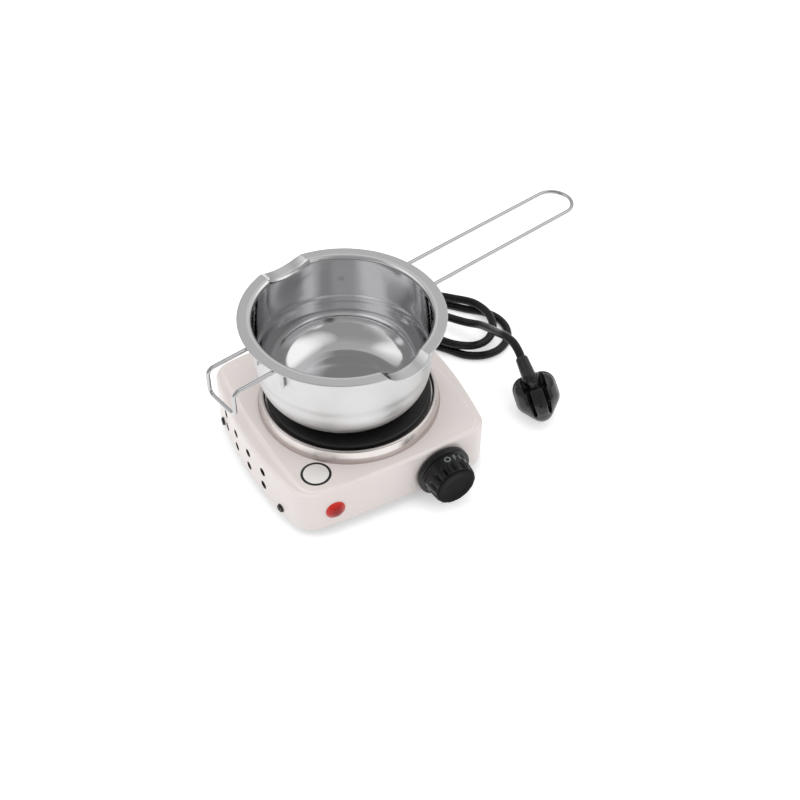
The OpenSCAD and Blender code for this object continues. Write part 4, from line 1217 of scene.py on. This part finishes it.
def plug_back(x, y, share):
    """Height of the plug's back over its face. share runs from 0 at the heart to 1 at the rim."""
    side = abs(y)
    column_half = 4.3 - 0.7 * ease((-2.0 - x) / 9.0)
    dome = 5.4 + 10.6 * (1 - share ** 2.3) ** 0.62
    petal = 0.9 * ease((side - column_half - 1.6) / 1.2) * ease((11.5 - side) / 4.0) * ease((x + 9.0) / 8.0)
    groove = 4.2 * ease((side - column_half) / 0.7) * ease((column_half + 2.3 - side) / 0.9)
    groove *= ease((x + 12.5) / 5.0) * ease((1.0 - share) / 0.16)
    column = 0.9 * ease((column_half + 0.1 - side) / 0.7) * ease((x + 12.0) / 4.0) * ease((8.0 - x) / 1.2)
    notch = 9.5 * ease((side - 3.6) / 0.8) * ease((7.6 - side) / 0.9) * ease((x - 6.6) / 1.3)
    saddle = 3.2 * ease((4.6 - side) / 1.0) * ease((x - 7.2) / 1.0)
    return max(dome + petal + column - groove - notch - saddle, EDGE_HEIGHT)


plug_rings = [[(x, y, z) for x, y in round_plug(share)] for share, z in FACE_AND_RIM]
for k in range(BACK_STEPS + 1):
    share = 1 - (k / BACK_STEPS) ** 1.25
    plug_rings.append([(x, y, plug_back(x, y, share)) for x, y in round_plug(BACK_SHARE * share)])
plug_shell = make_piece("plug_moulded", at_plug(all_points(plug_rings)), skin(plug_rings))
dress(outward(plug_shell, 45), plug_pvc)
print("plug faces:", len(plug_shell.data.polygons))

# %% Plug neck, mould mark and pins
NECK_Z = 8.0
NECK_STATIONS = [
    (3.0, 4.6), (9.6, 4.7), (10.2, 4.9), (11.0, 5.25), (14.6, 5.25), (15.4, 5.1), (16.2, 4.6), (16.3, 4.0),
]
MARK_X, MARK_HALF, MARK_BEND, MARK_R, MARK_STANDS, MARK_REACH = (2.2, -4.6), 1.5, 1.4, 0.45, 0.2, 15.5
PIN_APART, PIN_R = 19.0, 2.4

neck = straight_bar("neck", at_plug([(x, 0, NECK_Z) for x, _ in NECK_STATIONS]), NECK_STATIONS, 36)
open_end, closed_end = MARK_X
ridge = rounded([
    (open_end, -MARK_HALF, 0), (closed_end, -MARK_HALF, 0),
    (closed_end, MARK_HALF, 0), (open_end, MARK_HALF, 0),
], [MARK_BEND, MARK_BEND], 8)
ridge = [(x, y, plug_back(x, y, abs(x - PLUG_HEART) / MARK_REACH) + MARK_STANDS) for x, y, _ in ridge]
mark = dress(sweep("mark", at_plug(ridge), MARK_R, 12), plug_pvc)
plug = join("plug_moulded_body", plug_shell, neck, mark)

pin_profile = [(0, -19), (1.2, -19), (1.7, -18.7), (2.2, -18.0), (PIN_R, -17.2), (PIN_R, -0.4), (0, -0.4)]
pin = turned_shape("pin", pin_profile, 32)
plug_way = plug_place.to_3x3() @ Vector((0, 0, 1))
pins_at = at_plug([(0, side * PIN_APART / 2, 0) for side in (-1, 1)])
pins = row_of("pins_turned", pin, pins_at, [plug_way] * 2, [1.0, 1.0], pin_nickel)
put_away(pin)
print("plug and pins:", len(plug.data.polygons), len(pins.data.polygons))

# %% [markdown]
# ## What stays as the CAD made it
# The base, the feet and the inner parts are simple shapes that hardly show, so the CAD's own meshes
# stay and only get their finishes.

# %% Finishes of the CAD nodes
STAYS = {
    # the base plate is dressed in steel darkened as painted shade
    "base_plate": base_steel_painted_shade, "rubber_feet": foot_rubber, "foot_screws": screw_zinc,
    "side_screws": screw_black, "heating_element": element_steel, "heat_shield": shield_steel,
    "centre_stud": screw_zinc, "clamp_nut": screw_zinc, "thermal_cutout": ceramic,
    "thermostat_body": ceramic, "thermostat_screws": screw_zinc, "thermostat_shaft": screw_zinc,
    "lamp_body": lamp_nylon, "lamp_clip": zinc_plate, "terminal_block": ceramic,
    "terminal_screws": terminal_brass, "earth_screw": terminal_brass, "inner_wires": sleeving,
}
for node, finish in STAYS.items():
    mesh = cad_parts[node].data
    if not mesh.materials:
        mesh.materials.append(finish)
    for place in range(len(mesh.materials)):
        mesh.materials[place] = finish
print("nodes kept:", len(STAYS))

# %% [markdown]
# ## Marks
# A round label sits on the housing's top: a white disc with a black rim. It is a thin turned shape,
# and a pattern that reads the distance from its middle prints the rim.

# %% Bare disc
DISC_AT, DISC_R, DISC_WHITE_R = (-46.2, -46.5), 9.0, 7.5
disc_print, tree, shader = finish_of("printed vinyl label", "#F2F1EF", 0.4)
here, _, from_middle = round_axis(tree, (DISC_AT[0] + PLATE_X, DISC_AT[1] + PLATE_Y))
ring = add(tree, "ShaderNodeMath", {0: from_middle, 1: DISC_WHITE_R}, operation="GREATER_THAN")
tone = add(
    tree, "ShaderNodeMix", {"Factor": ring.outputs["Value"], MIX_A: srgb("#E6E3E0"), MIX_B: srgb("#171616")},
    data_type="RGBA",
)
tree.links.new(tone.outputs[MIX_RESULT], shader.inputs["Base Color"])
vary_roughness(tree, shader, here, 0.32, 0.48, 4)
disc_profile = [(0, -0.02), (DISC_R, -0.02), (DISC_R, 0.06), (DISC_R - 0.1, 0.12), (0, 0.12)]
disc_shape = turned_shape("disc", disc_profile, 96)
disc = row_of("label_disc", disc_shape, at_plate([(*DISC_AT, TOP_Z)]), [(0, 0, 1)], [1.0], disc_print)
put_away(disc_shape)
print("disc, mm:", 2 * DISC_R, "across")

# %% [markdown]
# ## Telling the frame which piece is which
# Every new piece rides on a body of the CAD and stands for the nodes that it replaces, and its row
# names a material slot.

# %% Bodies, nodes and slots
PIECES = [
    (housing, "hotplate_unit", "cream_paint", ["housing"]),
    (trim_ring, "hotplate_unit", "bright_ring", ["trim_ring"]),
    (plate_top, "hotplate_unit", "black_iron", ["hotplate"]),
    (lamp, "hotplate_unit", "lamp_red", ["lamp_lens"]),
    (gland, "hotplate_unit", "black_rubber", ["cable_gland"]),
    (lead, "hotplate_unit", "black_rubber", ["mains_lead"]),
    (relief_bar, "hotplate_unit", "black_rubber", ["plug_relief"]),
    (plug, "hotplate_unit", "plug_plastic", ["plug_body"]),
    (pins, "hotplate_unit", "nickel_pins", ["plug_pins"]),
    (disc, "hotplate_unit", "cream_paint", []),
    (knob, "control_knob", "knob_plastic", ["knob"]),
    (dial, "control_knob", "knob_plastic", []),
    (pot, "melting_pot", "pot_steel", ["pot_bowl"]),
    (handle, "melting_pot", "wire_steel", ["pot_handle"]),
    (rest, "melting_pot", "wire_steel", ["pot_rest"]),
]
for piece, body, slot, nodes in PIECES:
    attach(piece, body)
    if nodes:
        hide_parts(*nodes)
dress(lead, sheath_pvc)
print("new pieces:", len(PIECES))

# %% [markdown]
# ## Floor, surroundings and lights
# The photo is cut out on white. The floor is plain and pale, and for the camera it adds light of its
# own until it is white, but it keeps the object's soft shadow. Metal shows what is round it, so the
# world has three sides: white for the camera, one even grey that lights the diffuse surfaces, and
# for reflections a bright room with soft panels, pale and dark, like the ones the pot's inside
# shows in the photo. Each panel is a direction, two angles between which it fades, and its level.
# The three soft boxes only light. No reflection shows them.

# %% Floor
FLOOR_HALF, FLOOR_GLOW = 4.0, 0.38
floor_mesh = bpy.data.meshes.new("floor")
floor_corners = [(x * FLOOR_HALF, y * FLOOR_HALF, 0) for x, y in ((-1, -1), (1, -1), (1, 1), (-1, 1))]
floor_mesh.from_pydata(floor_corners, [], [(0, 1, 2, 3)])
floor = new_object("floor", floor_mesh)
floor_white, tree, shader = finish_of("white studio board", "#F4F4F4", 0.7)
path = add(tree, "ShaderNodeLightPath")
seen = add(
    tree, "ShaderNodeMath", {0: path.outputs["Is Camera Ray"], 1: path.outputs["Is Glossy Ray"]},
    operation="MAXIMUM",
)
glow = add(tree, "ShaderNodeMath", {0: seen.outputs["Value"], 1: FLOOR_GLOW}, operation="MULTIPLY")
shader.inputs["Emission Color"].default_value = (1, 1, 1, 1)
tree.links.new(glow.outputs["Value"], shader.inputs["Emission Strength"])
dress(floor, floor_white)
print("floor, m:", 2 * FLOOR_HALF, "across")

# %% Surroundings
# turn, rise, inner angle, outer angle (all in degrees), level
PANELS = [
    (257, 34, 32, 51, 0.38), (200, 53, 6, 31, 0.38), (306, 56, 7, 26, 0.96), (133, 45, 10, 27, 1.2),
    (342, 46, 16, 31, 1.3), (83, 34, 23, 45, 0.58), (279, 21, 3, 11, 1.2), (93, 10, 6, 17, 0.13),
    (60, 45, 14, 26, 0.74),
]
# how high the direction points, from 0 for level to 1 for straight up, and the room's tone there
ROOM_TONES = [(0.0, "#A8A8A8"), (0.3, "#C8C8C8"), (0.5, "#F6F6F6"), (0.82, "#E8E8E8"), (0.97, "#BDBDBD")]
WHITE, GREY_FOR_LIGHT = (1, 1, 1, 1), srgb("#DEDEDE")

world = bpy.data.worlds.new("studio")
bpy.context.scene.world = world
world.use_nodes = True
tree = world.node_tree
tree.nodes.clear()
path = add(tree, "ShaderNodeLightPath")
where = add(tree, "ShaderNodeTexCoord").outputs["Generated"]
split = add(tree, "ShaderNodeSeparateXYZ", {"Vector": where})
ramp = add(tree, "ShaderNodeValToRGB", {"Fac": split.outputs["Z"]})
set_ramp(ramp, ROOM_TONES)
room = ramp.outputs["Color"]
for turn, rise, inner, outer, level in PANELS:
    turn, rise, inner, outer = (math.radians(angle) for angle in (turn, rise, inner, outer))
    way = (math.cos(rise) * math.cos(turn), math.cos(rise) * math.sin(turn), math.sin(rise))
    facing = add(tree, "ShaderNodeVectorMath", {0: where, 1: way}, operation="DOT_PRODUCT")
    share = add(tree, "ShaderNodeMapRange", {
        "Value": facing.outputs["Value"], "From Min": math.cos(outer), "From Max": math.cos(inner),
    })
    bright = (level, level, level, 1.0)
    room = add(
        tree, "ShaderNodeMix", {"Factor": share.outputs["Result"], MIX_A: room, MIX_B: bright},
        data_type="RGBA",
    ).outputs[MIX_RESULT]
plain = add(
    tree, "ShaderNodeMix", {"Factor": path.outputs["Is Camera Ray"], MIX_A: GREY_FOR_LIGHT, MIX_B: WHITE},
    data_type="RGBA",
).outputs[MIX_RESULT]
shown = add(
    tree, "ShaderNodeMix", {"Factor": path.outputs["Is Glossy Ray"], MIX_A: plain, MIX_B: room},
    data_type="RGBA",
)
sky = add(tree, "ShaderNodeBackground", {"Color": shown.outputs[MIX_RESULT], "Strength": 1.0})
add(tree, "ShaderNodeOutputWorld", {"Surface": sky.outputs["Background"]})
print("panels in the room:", len(PANELS))

# %% Lights
LIT = Vector((0, 0, 0.05))
SOFTBOXES = [
    ("left softbox", (-0.89, 0.12, 0.92), (0.6, 0.7), 2.8),
    ("front softbox", (0.24, -0.89, 0.92), (0.6, 0.7), 2.8),
    ("top softbox", (0.0, 0.1, 1.3), (0.7, 0.7), 2.6),
]
for name, place_m, (width, depth), watts in SOFTBOXES:
    light = bpy.data.lights.new(name, "AREA")
    light.shape, light.size, light.size_y, light.energy = "RECTANGLE", width, depth, watts
    holder = new_object(name, light)
    holder.location = place_m
    holder.rotation_mode = "QUATERNION"
    holder.rotation_quaternion = (LIT - Vector(place_m)).to_track_quat("-Z", "Y")
    holder.visible_glossy = False
print("softboxes:", len(SOFTBOXES))

# %% Last lines
scene = bpy.context.scene
scene.view_settings.view_transform = "Standard"
bpy.context.view_layer.update()
